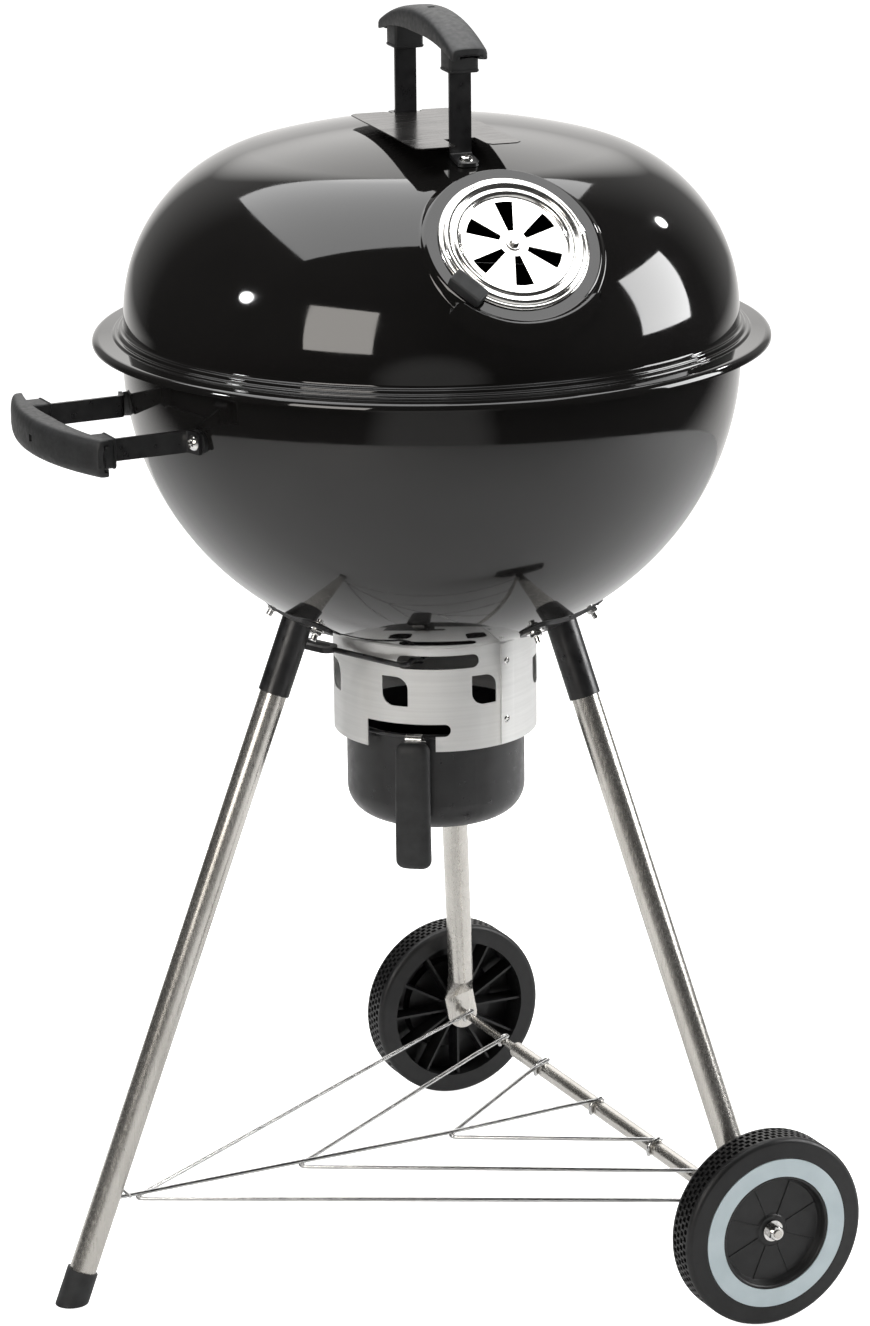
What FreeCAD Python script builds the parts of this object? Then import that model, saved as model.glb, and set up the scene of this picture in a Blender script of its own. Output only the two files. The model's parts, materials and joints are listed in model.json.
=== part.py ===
import FreeCAD, Part
import math
import os

# Kettle charcoal grill on three legs, millimetres, +Z up.
# Everything is drawn about the kettle's own axis, with the front leg towards -Y and the
# wheel axle along X, then moved by FRAME_SHIFT_Y so that the origin is under the middle.

V = FreeCAD.Vector

# ---- driving dimensions ------------------------------------------------------------
FRAME_SHIFT_Y = 44.7
RUN_FIT = 0.05                # radial clearance of every running fit
GAP = 0.3                     # clear distance between pieces of different bodies

# bowl: lower half of an ellipsoid
BOWL_R = 283.5
BOWL_DEPTH = 274.2
BOWL_Z = 870.4
BOWL_T = 2.0
RIM_BEAD_R = 4.0
RIM_BEAD_Z = 890.0
VENT_IN = 26.0
VENT_OUT = 76.0
VENT_SWEEP = 34.0
VENT_PHASE = 90.0

# lid: wall, shoulder arc, crown arc, stepped flange
LID_R = 281.8
LID_T = 1.5
SHOULDER_R = 156.7
CROWN_R = 640.0
SHOULDER_Z = 909.9
FLANGE_R = 311.0
FLANGE_LIP_Z = 885.2

# lid damper
DAMPER_AZ = -8.1
DAMPER_AT = 239.0             # distance of the damper's centre from the kettle axis
DAMPER_R = 67.5
DAMPER_T = 1.2
DAMPER_SEAT = 7.0             # depth of the pressed flat below the lid's surface
DAMPER_SEAT_R = 74.0
DAMPER_BEAD_IN = 49.0
DAMPER_BEAD_OUT = 64.0
DAMPER_BEAD_H = 3.4
WEDGE_IN = 13.0
WEDGE_OUT = 43.0
WEDGE_DEG = 22.0
WEDGES = 6
RIVET_R = 3.0
TAB_ANGLE = -140.4
TAB_L = 33.0
TAB_W = 15.0
TAB_H = 10.0

# handles
HANDLE_AZ = -7.4              # direction of the lid handle
HANDLE_SIDE = -13.0           # sideways offset of the lid handle
LID_STRAP_FRONT = 123.0
LID_STRAP_REAR = -29.0
STRAP_W = 20.0
STRAP_T = 3.5
LID_STRAP_TOP = 1160.0
LID_GRIP_Z = 1147.0
GRIP_W = 34.0
GRIP_END = 28.0               # grip beyond each strap
GRIP_SOCKET = 26.0            # depth of a grip's end block
GRIP_RISE = 20.0              # rise of the arch above the end blocks
GRIP_MID_T = 17.0
SHIELD_Z = 1086.2
SHIELD_T = 1.0
SHIELD_BACK = -36.0
SHIELD_FRONT = 158.0
SHIELD_SIDE = -16.0
SHIELD_W = 97.0
BOWL_HANDLE_AZ = -90.0
BOWL_HANDLE_Z = 833.0
BOWL_STRAP_AT = 76.0          # half distance between the bowl handle's straps
BOWL_GRIP_AT = 350.0

# legs
LEG_TOP_R = 140.83
LEG_TOP_Z = 629.6
LEG_FOOT_R = 384.6
LEG_OR = 12.7
LEG_WALL = 1.5
SOCKET_OR = 14.6
SOCKET_L = 69.0
SADDLE_T = 2.5
SADDLE_SIDE = 58.0
SADDLE_BOLT = 47.0
FOOT_OR = 14.8
FOOT_L = 30.0
LEG_FRONT_AZ = -90.0
LEG_RIGHT_AZ = 30.0
LEG_LEFT_AZ = 150.0

# axle and wheels
WHEEL_R = 91.1
WHEEL_W = 36.0
AXLE_R = 4.0
HUB_X = 302.5
WHEEL_IN = 309.0
SLEEVE_R = 8.0
SLEEVE_FROM = -178.0
RING_IN = 55.0
RING_OUT = 72.0
TREAD_GROOVES = 4

# ash catcher
BAND_R = 95.3
BAND_T = 1.2
BAND_Z = 513.4
BAND_TOP = 616.0
POT_R = 83.5
POT_T = 1.5
POT_BOTTOM = 429.0
POT_TOP = 526.0
POT_CORNER = 27.0
POT_HANDLE_AZ = -37.0
WINDOWS = 7
WINDOW_AZ0 = -49.0

# bottom damper
SHAFT_R = 5.0
LEVER_AZ = -40.0
LEVER_R = 2.6
LEVER_TIP_R = 106.0
LEVER_HOOK_DEG = 47.0
BLADE_T = 1.5

# grates
COOK_Z = 858.0
COAL_Z = 702.0
GRATE_WIRE = 2.5

# wire rack
RACK_WIRE = 2.1
RACK_BEND = 12.0
RACK_LIFT = 4.0                # the centre wire lies on the V wires
RACK_COLLAR_T = 3.0
RACK_TAIL = 13.0
RACK_APEX = (-320.0, -152.0, 8.0)
RACK_ENDS = (285.0, 205.0, 118.0)

Z = V(0, 0, 1)
LEG_SLOPE = (LEG_FOOT_R - LEG_TOP_R) / LEG_TOP_Z
LEG_TILT = math.atan(LEG_SLOPE)
LEG_DIR = V(math.sin(LEG_TILT), 0, -math.cos(LEG_TILT))
HUB_Y = HUB_X * math.tan(math.radians(LEG_RIGHT_AZ))
AXLE_Z = WHEEL_R


# ---- helpers -----------------------------------------------------------------------
def polar(r, deg, z=0.0):
    a = math.radians(deg)
    return V(r * math.cos(a), r * math.sin(a), z)


def turn(shape, deg, axis=Z, centre=V(0, 0, 0)):
    out = shape.copy()
    out.rotate(centre, axis, deg)
    return out


def moved(shape, vec):
    out = shape.copy()
    out.translate(vec)
    return out


def cyl(r, start, end):
    way = end - start
    return Part.makeCylinder(r, way.Length, start, way)


def tube(ro, ri, start, end):
    return cyl(ro, start, end).cut(cyl(ri, start, end))


def box(x0, x1, y0, y1, z0, z1):
    return Part.makeBox(x1 - x0, y1 - y0, z1 - z0, V(x0, y0, z0))


def seg(a, b):
    return Part.makeLine(a, b)


def arc(a, m, b):
    return Part.Arc(a, m, b).toShape()


def xz(r, z):
    return V(r, 0, z)


def revolve(edges, about=V(0, 0, 0), axis=Z, deg=360):
    face = Part.Face(Part.Wire(Part.__sortEdges__(edges)))
    solid = face.revolve(about, axis, deg)
    return fix(solid)


def fix(shape):
    if shape.ShapeType == "Shell":
        shape = Part.makeSolid(shape)
    if shape.Volume < 0:
        shape.reverse()
    return shape


def one(shape):
    """The single solid of a boolean's result."""
    solids = sorted(shape.Solids, key=lambda s: s.Volume)
    return solids[-1]


def union(shapes):
    out = shapes[0].fuse(shapes[1:]) if len(shapes) > 1 else shapes[0]
    return out.removeSplitter()


def group(shapes):
    return Part.makeCompound([s for shape in shapes for s in shape.Solids])


def extrude_polygon(points, way):
    wire = Part.makePolygon(points + [points[0]])
    return Part.Face(wire).extrude(way)


def sector(r0, r1, a0, a1, z0, z1):
    ring = Part.makeCylinder(r1, z1 - z0, V(0, 0, z0), Z, a1 - a0)
    if r0 > 0:
        ring = ring.cut(Part.makeCylinder(r0, z1 - z0 + 2, V(0, 0, z0 - 1)))
    return turn(ring, a0)


def bent_side(pts, bend, off):
    """Edges of the line at distance off from a centre line with rounded corners."""
    edges = []
    last = None
    n = len(pts)
    for i in range(n):
        if i == 0 or i == n - 1:
            other = pts[1] if i == 0 else pts[n - 2]
            way = (other - pts[i]) if i == 0 else (pts[i] - other)
            way.normalize()
            here = pts[i] + V(-way.z, 0, way.x) * off
            if last is not None:
                edges.append(seg(last, here))
            last = here
            continue
        a = pts[i] - pts[i - 1]
        b = pts[i + 1] - pts[i]
        a.normalize()
        b.normalize()
        na = V(-a.z, 0, a.x)
        nb = V(-b.z, 0, b.x)
        side = 1.0 if (a.x * b.z - a.z * b.x) > 0 else -1.0
        half = a.getAngle(b) / 2
        back = bend * math.tan(half)
        centre = pts[i] - a * back + na * (side * bend)
        start = pts[i] - a * back + na * off
        end = pts[i] + b * back + nb * off
        mid_way = (start - centre) + (end - centre)
        mid_way.normalize()
        mid = centre + mid_way * (start - centre).Length
        edges.append(seg(last, start))
        edges.append(arc(start, mid, end))
        last = end
    return edges, last


def bent_strip(pts, bend, thick, width):
    """A flat bar bent in the XZ plane along pts, centred on y = 0."""
    left, end_l = bent_side(pts, bend, thick / 2)
    right, end_r = bent_side(pts, bend, -thick / 2)
    start_l = left[0].Vertexes[0].Point
    start_r = right[0].Vertexes[0].Point
    edges = left + right + [seg(start_l, start_r), seg(end_l, end_r)]
    face = Part.Face(Part.Wire(Part.__sortEdges__(edges)))
    return moved(face.extrude(V(0, width, 0)), V(0, -width / 2, 0))


def bent_rod(pts, bend, r):
    """A round rod along pts with rounded corners."""
    edges = []
    last = pts[0]
    for i in range(1, len(pts) - 1):
        a = pts[i] - pts[i - 1]
        b = pts[i + 1] - pts[i]
        a.normalize()
        b.normalize()
        half = a.getAngle(b) / 2
        back = bend * math.tan(half)
        start = pts[i] - a * back
        end = pts[i] + b * back
        inward = b - a
        inward.normalize()
        centre = pts[i] + inward * (bend / math.cos(half))
        mid = centre - inward * bend
        edges.append(seg(last, start))
        edges.append(arc(start, mid, end))
        last = end
    edges.append(seg(last, pts[-1]))
    way = pts[1] - pts[0]
    ring = Part.Wire(Part.makeCircle(r, pts[0], way))
    return fix(Part.Wire(edges).makePipeShell([ring], True, True))


def hexagon(across, height, base, way):
    r = across / math.sqrt(3)
    pts = [V(r * math.cos(math.radians(60 * k)), r * math.sin(math.radians(60 * k)), 0)
           for k in range(6)]
    nut = extrude_polygon(pts, V(0, 0, height))
    cap = Part.makeCone(across * 0.62, across * 0.46, height * 0.35, V(0, 0, height * 0.65))
    nut = one(nut.common(Part.makeCylinder(r, height * 0.65).fuse(cap)))
    nut.Placement = FreeCAD.Placement(base, FreeCAD.Rotation(Z, way))
    return nut


def dome_head(r, height, base, way):
    """Domed screw head with a cross recess."""
    ball_r = (r * r + height * height) / (2 * height)
    head = Part.makeSphere(ball_r, V(0, 0, height - ball_r))
    head = head.common(Part.makeCylinder(r, height))
    cross_w = r * 0.22
    cross_l = r * 0.55
    for long_x, long_y in ((cross_l, cross_w), (cross_w, cross_l)):
        slot = box(-long_x, long_x, -long_y, long_y, height * 0.45, height + 1)
        head = head.cut(slot)
    head = one(head)
    head.Placement = FreeCAD.Placement(base, FreeCAD.Rotation(Z, way))
    return head


def save(name, shape):
    out = moved(shape, V(0, FRAME_SHIFT_Y, 0))
    solids = out.Solids
    if not out.isValid() or not solids:
        print("INVALID", name, len(solids))
    if len(solids) == 1:
        out = solids[0]
    out.exportStep("parts/" + name + ".step")
    print(name, len(solids), round(out.Volume / 1000, 2))


os.makedirs("parts", exist_ok=True)


# ---- bowl --------------------------------------------------------------------------
def bowl_z(r, grow=0.0):
    a = BOWL_R + grow
    b = BOWL_DEPTH + grow
    return BOWL_Z - b * math.sqrt(1 - (r / a) ** 2)


def bowl_arc(grow):
    a = BOWL_R + grow
    b = BOWL_DEPTH + grow
    ellipse = Part.Ellipse(xz(a, BOWL_Z), xz(0, BOWL_Z - b), xz(0, BOWL_Z))
    return Part.Arc(ellipse, 0, math.pi / 2).toShape()


def bowl_body(grow):
    """The bowl's outline grown by a distance, as a solid."""
    a = BOWL_R + grow
    b = BOWL_DEPTH + grow
    edges = [bowl_arc(grow), seg(xz(0, BOWL_Z - b), xz(0, BOWL_Z)),
             seg(xz(0, BOWL_Z), xz(a, BOWL_Z))]
    return revolve(edges)


def make_bowl():
    inner = BOWL_R - BOWL_T
    bead_c = inner + RIM_BEAD_R
    drop = math.sqrt(RIM_BEAD_R ** 2 - (bead_c - BOWL_R) ** 2)
    low = RIM_BEAD_Z - drop
    a = math.radians(-40)
    edges = [
        seg(xz(inner, BOWL_Z), xz(inner, RIM_BEAD_Z)),
        arc(xz(inner, RIM_BEAD_Z), xz(bead_c, RIM_BEAD_Z + RIM_BEAD_R),
            xz(bead_c + RIM_BEAD_R, RIM_BEAD_Z)),
        arc(xz(bead_c + RIM_BEAD_R, RIM_BEAD_Z),
            xz(bead_c + RIM_BEAD_R * math.cos(a), RIM_BEAD_Z + RIM_BEAD_R * math.sin(a)),
            xz(BOWL_R, low)),
        seg(xz(BOWL_R, low), xz(BOWL_R, BOWL_Z)),
        bowl_arc(0),
        seg(xz(0, BOWL_Z - BOWL_DEPTH), xz(0, BOWL_Z - BOWL_DEPTH + BOWL_T)),
        bowl_arc(-BOWL_T),
    ]
    bowl = revolve(edges)
    bowl = bowl.cut(Part.makeCylinder(SHAFT_R + RUN_FIT, 40, V(0, 0, 580)))
    for k in range(3):
        mid = VENT_PHASE + 120 * k
        cutter = sector(VENT_IN, VENT_OUT, mid - VENT_SWEEP / 2, mid + VENT_SWEEP / 2, 580, 640)
        bowl = bowl.cut(cutter)
    return one(bowl)


save("bowl_shell", make_bowl())


# ---- grates ------------------------------------------------------------------------
def make_grate(ring_r, z, pitch, cross_at):
    ring = Part.makeTorus(ring_r, GRATE_WIRE, V(0, 0, z))
    rods = []
    lift = 2 * GRATE_WIRE - 0.8
    n = int((ring_r - 6) / pitch)
    for k in range(-n, n + 1):
        x = k * pitch
        half = math.sqrt(ring_r ** 2 - x ** 2) + 1.0
        rods.append(cyl(GRATE_WIRE, V(x, -half, z + lift), V(x, half, z + lift)))
    for y in cross_at:
        half = math.sqrt(ring_r ** 2 - y ** 2)
        rods.append(cyl(GRATE_WIRE, V(-half, y, z), V(half, y, z)))
    return one(union([ring] + rods))


COOK_R = 268.0
COAL_R = 208.0
save("cooking_grate", make_grate(COOK_R, COOK_Z, 20.0, (-120.0, 120.0)))
save("charcoal_grate", make_grate(COAL_R, COAL_Z, 34.0, (-90.0, 90.0)))


def make_supports(z, ring_r, count, phase):
    """Small bent brackets fixed to the bowl's inner wall, each carrying a grate's ring."""
    top = z - GRATE_WIRE - 0.1
    wall = (BOWL_R - BOWL_T) * math.sqrt(1 - ((top - BOWL_Z) / (BOWL_DEPTH - BOWL_T)) ** 2)
    shelf = box(ring_r - 9, wall + 6, -12, 12, top - 2, top)
    keep = bowl_body(-BOWL_T - 0.05)
    skin = bowl_body(-BOWL_T - 2.2)
    web = box(wall - 30, wall + 6, -12, 12, top - 24, top - 2).cut(skin).common(keep)
    bracket = one(union([shelf.common(keep), web]))
    return group([turn(bracket, phase + 360.0 / count * k) for k in range(count)])


save("cooking_grate_brackets", make_supports(COOK_Z, COOK_R, 4, 45))
save("charcoal_grate_brackets", make_supports(COAL_Z, COAL_R, 4, 45))


# ---- bottom damper -----------------------------------------------------------------
def make_blades():
    """Hub and three leaves that lie just above the bowl's bottom."""
    low = bowl_body(-BOWL_T - GAP)
    high = bowl_body(-BOWL_T - GAP - BLADE_T)
    skin = low.cut(high)
    leaves = []
    for k in range(3):
        mid = VENT_PHASE + 120 * k + 32
        leaf = sector(15, VENT_OUT + 6, mid - 24, mid + 24, 590, 640)
        leaves.append(skin.common(leaf))
    hub_top = bowl_z(0) + 14
    hub = Part.makeCylinder(18, hub_top - bowl_z(0) - BOWL_T, V(0, 0, bowl_z(0) + BOWL_T))
    hub = hub.common(low)
    hub = hub.cut(Part.makeCylinder(SHAFT_R - 0.01, 60, V(0, 0, 580)))
    return one(union([hub] + leaves))


SHAFT_LOW = 582.0
save("damper_blades", make_blades())
shaft = Part.makeCylinder(SHAFT_R - 0.02, bowl_z(0) + 18 - SHAFT_LOW, V(0, 0, SHAFT_LOW))
save("damper_shaft", shaft)


def make_lever():
    root = polar(0, LEVER_AZ, SHAFT_LOW + 5)
    knee = polar(52, LEVER_AZ, SHAFT_LOW + 6)
    rise = polar(88, LEVER_AZ, 598.4)
    elbow = polar(111, LEVER_AZ, 599.6)
    tip = polar(LEVER_TIP_R, LEVER_AZ - LEVER_HOOK_DEG, 599.6)
    rod = bent_rod([root, knee, rise, elbow, tip], 8.0, LEVER_R)
    boss = Part.makeCylinder(SHAFT_R + 4, 9, V(0, 0, SHAFT_LOW + 0.5))
    arm = rod.fuse(boss).cut(Part.makeCylinder(SHAFT_R - 0.01, 30, V(0, 0, SHAFT_LOW - 5)))
    return one(arm), elbow, tip


lever, lever_elbow, lever_tip = make_lever()
save("damper_lever", lever)


def make_lever_loop():
    way = lever_tip - lever_elbow
    way.normalize()
    ring = Part.makeCylinder(9.5, 5, V(0, 0, -2.5))
    bar = box(-14, 14, -9.5, 9.5, -2.5, 2.5)
    body = ring.fuse([moved(ring, V(14, 0, 0)), moved(ring, V(-14, 0, 0)), bar])
    body = body.removeSplitter()
    hole = box(-13, 13, -4.2, 4.2, -5, 5)
    end = Part.makeCylinder(4.2, 10, V(13, 0, -5))
    body = body.cut(hole.fuse([end, moved(end, V(-26, 0, 0))]))
    centre = lever_tip + way * (14 + 9.5 - 0.5)
    body = one(body)
    spin = FreeCAD.Rotation(V(1, 0, 0), way)
    body.Placement = FreeCAD.Placement(centre, spin)
    return one(body.cut(cyl(LEVER_R + 0.02, lever_elbow, lever_tip)))


save("damper_lever_loop", make_lever_loop())


# ---- ash catcher -------------------------------------------------------------------
def rounded_window(az, half_deg, z0, z1, r):
    """A window through the band with two opposite corners rounded."""
    half = BAND_R * math.radians(half_deg)
    pts = [V(0, -half + r, z0), V(0, half, z0), V(0, half, z1 - r),
           V(0, half - r, z1), V(0, -half, z1), V(0, -half, z0 + r)]
    s = math.sqrt(0.5)
    edges = [
        seg(pts[0], pts[1]), seg(pts[1], pts[2]),
        arc(pts[2], V(0, half - r + r * s, z1 - r + r * s), pts[3]),
        seg(pts[3], pts[4]), seg(pts[4], pts[5]),
        arc(pts[5], V(0, -half + r - r * s, z0 + r - r * s), pts[0]),
    ]
    face = Part.Face(Part.Wire(edges))
    cutter = moved(face.extrude(V(30, 0, 0)), V(BAND_R - 15, 0, 0))
    return turn(cutter, az)


def slot_window(a0, a1, z0, z1):
    """A long slot round the band with round ends."""
    r = (z1 - z0) / 2
    grow = math.degrees(r / BAND_R)
    mid = (z0 + z1) / 2
    body = sector(BAND_R - 15, BAND_R + 15, a0 + grow, a1 - grow, z0, z1)
    ends = [cyl(r, polar(BAND_R - 15, a, mid), polar(BAND_R + 15, a, mid))
            for a in (a0 + grow, a1 - grow)]
    return body.fuse(ends)


def make_band():
    band = tube(BAND_R, BAND_R - BAND_T, V(0, 0, BAND_Z), V(0, 0, BAND_TOP))
    band = band.cut(bowl_body(0.05))
    cuts = [slot_window(-47.5, -1.0, 592.2, 605.0)]
    for k in range(WINDOWS):
        az = WINDOW_AZ0 + 360.0 / WINDOWS * k
        cuts.append(rounded_window(az, 7.6, 556.0, 584.0, 12.0))
    cuts.append(sector(BAND_R - 15, BAND_R + 15, -67.0, -26.0, BAND_Z - 5, 539.5))
    cuts.append(slot_window(-50.0, -17.5, 527.7, 539.5))
    for cutter in cuts:
        band = band.cut(cutter)
    return one(band)


save("ash_band", make_band())
rivets = [dome_head(4.2, 2.0, polar(BAND_R + 0.05, 17.5, z), polar(1, 17.5)) for z in (593, 537)]
save("band_rivets", group(rivets))


def make_pot():
    c = POT_CORNER
    ci = c - POT_T
    s = math.sqrt(0.5)
    ro = POT_R
    ri = POT_R - POT_T
    b = POT_BOTTOM
    edges = [
        seg(xz(0, b), xz(ro - c, b)),
        arc(xz(ro - c, b), xz(ro - c + c * s, b + c - c * s), xz(ro, b + c)),
        seg(xz(ro, b + c), xz(ro, POT_TOP - 4)),
        arc(xz(ro, POT_TOP - 4), xz(ro + 2.2, POT_TOP - 1.8), xz(ro, POT_TOP)),
        seg(xz(ro, POT_TOP), xz(ri, POT_TOP)),
        seg(xz(ri, POT_TOP), xz(ri, b + c)),
        arc(xz(ri, b + c), xz(ro - c + ci * s, b + c - ci * s), xz(ro - c, b + POT_T)),
        seg(xz(ro - c, b + POT_T), xz(0, b + POT_T)),
        seg(xz(0, b + POT_T), xz(0, b)),
    ]
    return revolve(edges)


save("ash_pot", make_pot())


def make_pot_bracket():
    """Bent steel tab from the pot's wall out to its handle."""
    pts = [xz(POT_R + 1.3, 505.0), xz(POT_R + 1.3, 521.0), xz(100.0, 531.0),
           xz(108.5, 531.0), xz(108.5, 500.0)]
    strip = bent_strip(pts, 2.6, 2.0, 15.0)
    return turn(strip, POT_HANDLE_AZ)


save("ash_pot_bracket", make_pot_bracket())


def make_pot_handle():
    """Slightly bowed grip bar that hangs beside the pot."""
    top = 527.0
    low = 405.0
    out = 116.5
    inner = 102.5
    mid_z = (top + low) / 2
    edges = [
        arc(xz(inner, top - 8), xz(inner + 2.5, mid_z), xz(inner - 1, low + 6)),
        arc(xz(inner - 1, low + 6), xz(inner + 4, low), xz(out - 5, low + 2)),
        arc(xz(out - 5, low + 2), xz(out + 3.0, mid_z), xz(out - 2, top - 8)),
        arc(xz(out - 2, top - 8), xz((inner + out) / 2 - 1, top), xz(inner, top - 8)),
    ]
    face = Part.Face(Part.Wire(edges))
    half = 16.0
    bar = moved(face.extrude(V(0, 2 * half, 0)), V(0, -half, 0))
    long_edges = [e for e in bar.Edges if abs(abs(e.CenterOfMass.y) - half) < 0.01
                  and e.Length > 60]
    bar = bar.makeFillet(3.0, long_edges)
    pocket = box(106.9, 110.1, -8.2, 8.2, 498.0, 540.0)
    return turn(one(bar.cut(pocket)), POT_HANDLE_AZ)


save("ash_pot_handle", make_pot_handle())


# ---- legs --------------------------------------------------------------------------
def leg_point(s):
    """Point on a leg's axis, s below the bowl along the leg, at azimuth 0."""
    return V(LEG_TOP_R, 0, LEG_TOP_Z) + LEG_DIR * s


def make_socket():
    outer = cyl(SOCKET_OR, leg_point(-20), leg_point(SOCKET_L))
    shell = bowl_body(0.1 + SADDLE_T).cut(bowl_body(0.1))
    bar = box(LEG_TOP_R - 15, LEG_TOP_R + 15, -SADDLE_SIDE, SADDLE_SIDE, 580, 700)
    corner = []
    for sy in (-1, 1):
        side = sy * SADDLE_SIDE
        cut = Part.makeCylinder(15, 140, V(LEG_TOP_R, sy * (SADDLE_SIDE - 15), 575))
        square = box(LEG_TOP_R - 16, LEG_TOP_R + 16, min(side, sy * (SADDLE_SIDE - 15)),
                     max(side, sy * (SADDLE_SIDE - 15)), 575, 705)
        corner.append(square.cut(cut))
    saddle = shell.common(bar).cut(Part.makeCompound(corner))
    saddle = one(saddle)
    for sy in (-1, 1):
        r = math.hypot(LEG_TOP_R, SADDLE_BOLT)
        hole = cyl(3.05, *bolt_line(r, math.degrees(math.atan2(sy * SADDLE_BOLT, LEG_TOP_R)), -8, 12))
        saddle = saddle.cut(hole)
    outer = outer.cut(bowl_body(0.1))
    socket = one(outer.fuse(saddle).removeSplitter())
    bore = cyl(LEG_OR + RUN_FIT, leg_point(7), leg_point(SOCKET_L + 1))
    return one(socket.cut(bore))


def bowl_normal(r, az):
    a = BOWL_R
    b = BOWL_DEPTH
    nr = r / (a * a)
    nz = (bowl_z(r) - BOWL_Z) / (b * b)
    n = polar(nr, az, nz)
    n.normalize()
    return n


def bolt_line(r, az, s0, s1):
    """Two points on the bowl's normal at radius r, from s0 to s1 outside its surface."""
    p = polar(r, az, bowl_z(r))
    n = bowl_normal(r, az)
    return p + n * s0, p + n * s1


def make_leg(length, start=8.0):
    return tube(LEG_OR, LEG_OR - LEG_WALL, leg_point(start), leg_point(length))


FOOT_S = (LEG_TOP_Z - 2.5) / math.cos(LEG_TILT)
socket = make_socket()
front_leg = make_leg(FOOT_S - 2.5)


def make_wheel_leg(az):
    """Leg tube whose lower end is pressed flat across the axle and drilled for it."""
    side = 1 if math.cos(math.radians(az)) > 0 else -1
    flat_w = 16.5
    flat_t = 3.6
    s_round = (LEG_TOP_Z - 137.0) / math.cos(LEG_TILT)
    upper = tube(LEG_OR, LEG_OR - LEG_WALL, leg_point(8.0), leg_point(s_round))
    upper = turn(upper, az)
    way = turn_vec(LEG_DIR, az)
    top = turn_vec(leg_point(s_round), az)
    hub = V(side * HUB_X, HUB_Y, AXLE_Z)
    flat_way = V(0, way.y, way.z)
    flat_way.normalize()
    across = flat_way.cross(V(1, 0, 0))
    neck = hub - flat_way * 21.0
    upper_ring = Part.Wire(Part.makeCircle(LEG_OR, top, way))
    long_pt = neck + across * flat_w
    short_pt = neck + V(flat_t, 0, 0)
    ellipse = Part.Ellipse(long_pt, short_pt, neck).toShape()
    loft = Part.makeLoft([upper_ring, Part.Wire(ellipse)], True, True)
    tip = hub + flat_way * 2.0
    slab = Part.Face(Part.Wire(ellipse)).extrude(tip - neck)
    round_end = cyl(flat_w, hub - V(9, 0, 0), hub + V(9, 0, 0))
    below = Part.Face(Part.Wire(ellipse)).extrude(flat_way * 45.0).common(round_end)
    foot = union([fix(loft), slab, below])
    hole = cyl(AXLE_R + RUN_FIT, hub - V(40, 0, 0), hub + V(40, 0, 0))
    leg = union([upper, foot]).cut(hole)
    return one(leg)


def turn_vec(v, deg):
    a = math.radians(deg)
    return V(v.x * math.cos(a) - v.y * math.sin(a), v.x * math.sin(a) + v.y * math.cos(a), v.z)


save("leg_socket_front", turn(socket, LEG_FRONT_AZ))
save("leg_socket_right", turn(socket, LEG_RIGHT_AZ))
save("leg_socket_left", turn(socket, LEG_LEFT_AZ))
save("leg_front", turn(front_leg, LEG_FRONT_AZ))
save("leg_right", make_wheel_leg(LEG_RIGHT_AZ))
save("leg_left", make_wheel_leg(LEG_LEFT_AZ))

foot_start = leg_point(FOOT_S - FOOT_L)
foot = cyl(FOOT_OR, foot_start, leg_point(FOOT_S + 12))
foot = foot.common(box(0, 900, -50, 50, 0, 100))
foot = foot.cut(cyl(LEG_OR + RUN_FIT, leg_point(FOOT_S - FOOT_L - 5), leg_point(FOOT_S - 2.2)))
save("foot_cap", turn(one(foot), LEG_FRONT_AZ))

saddle_bolts = []
saddle_nuts = []
for az in (LEG_FRONT_AZ, LEG_RIGHT_AZ, LEG_LEFT_AZ):
    for sy in (-1, 1):
        r = math.hypot(LEG_TOP_R, SADDLE_BOLT)
        a = az + math.degrees(math.atan2(sy * SADDLE_BOLT, LEG_TOP_R))
        p0, p1 = bolt_line(r, a, SADDLE_T + 0.2, SADDLE_T + 11)
        n = bowl_normal(r, a)
        saddle_bolts.append(cyl(3.0, p0, p1))
        nut = hexagon(10.0, 5.0, p0, n).cut(cyl(3.02, p0 - n, p1 + n))
        washer = cyl(8.5, p0 - n * 0.05, p0 + n * 1.2).cut(cyl(3.02, p0 - n, p1))
        saddle_nuts.append(one(union([nut, washer])))
save("socket_bolts", group(saddle_bolts))
save("socket_nuts", group(saddle_nuts))


# ---- axle and wheels ---------------------------------------------------------------
def on_axle(x):
    return V(x, HUB_Y, AXLE_Z)


WHEEL_OUT = WHEEL_IN + WHEEL_W
axle = cyl(AXLE_R, on_axle(-WHEEL_OUT - 4.0), on_axle(WHEEL_OUT + 4.0))
save("axle_rod", axle)
sleeve = tube(SLEEVE_R, AXLE_R + RUN_FIT, on_axle(SLEEVE_FROM), on_axle(HUB_X - 5.0))
save("axle_sleeve", sleeve)


def ring_x(ro, ri, x0, x1):
    return tube(ro, ri, on_axle(x0), on_axle(x1))


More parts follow.
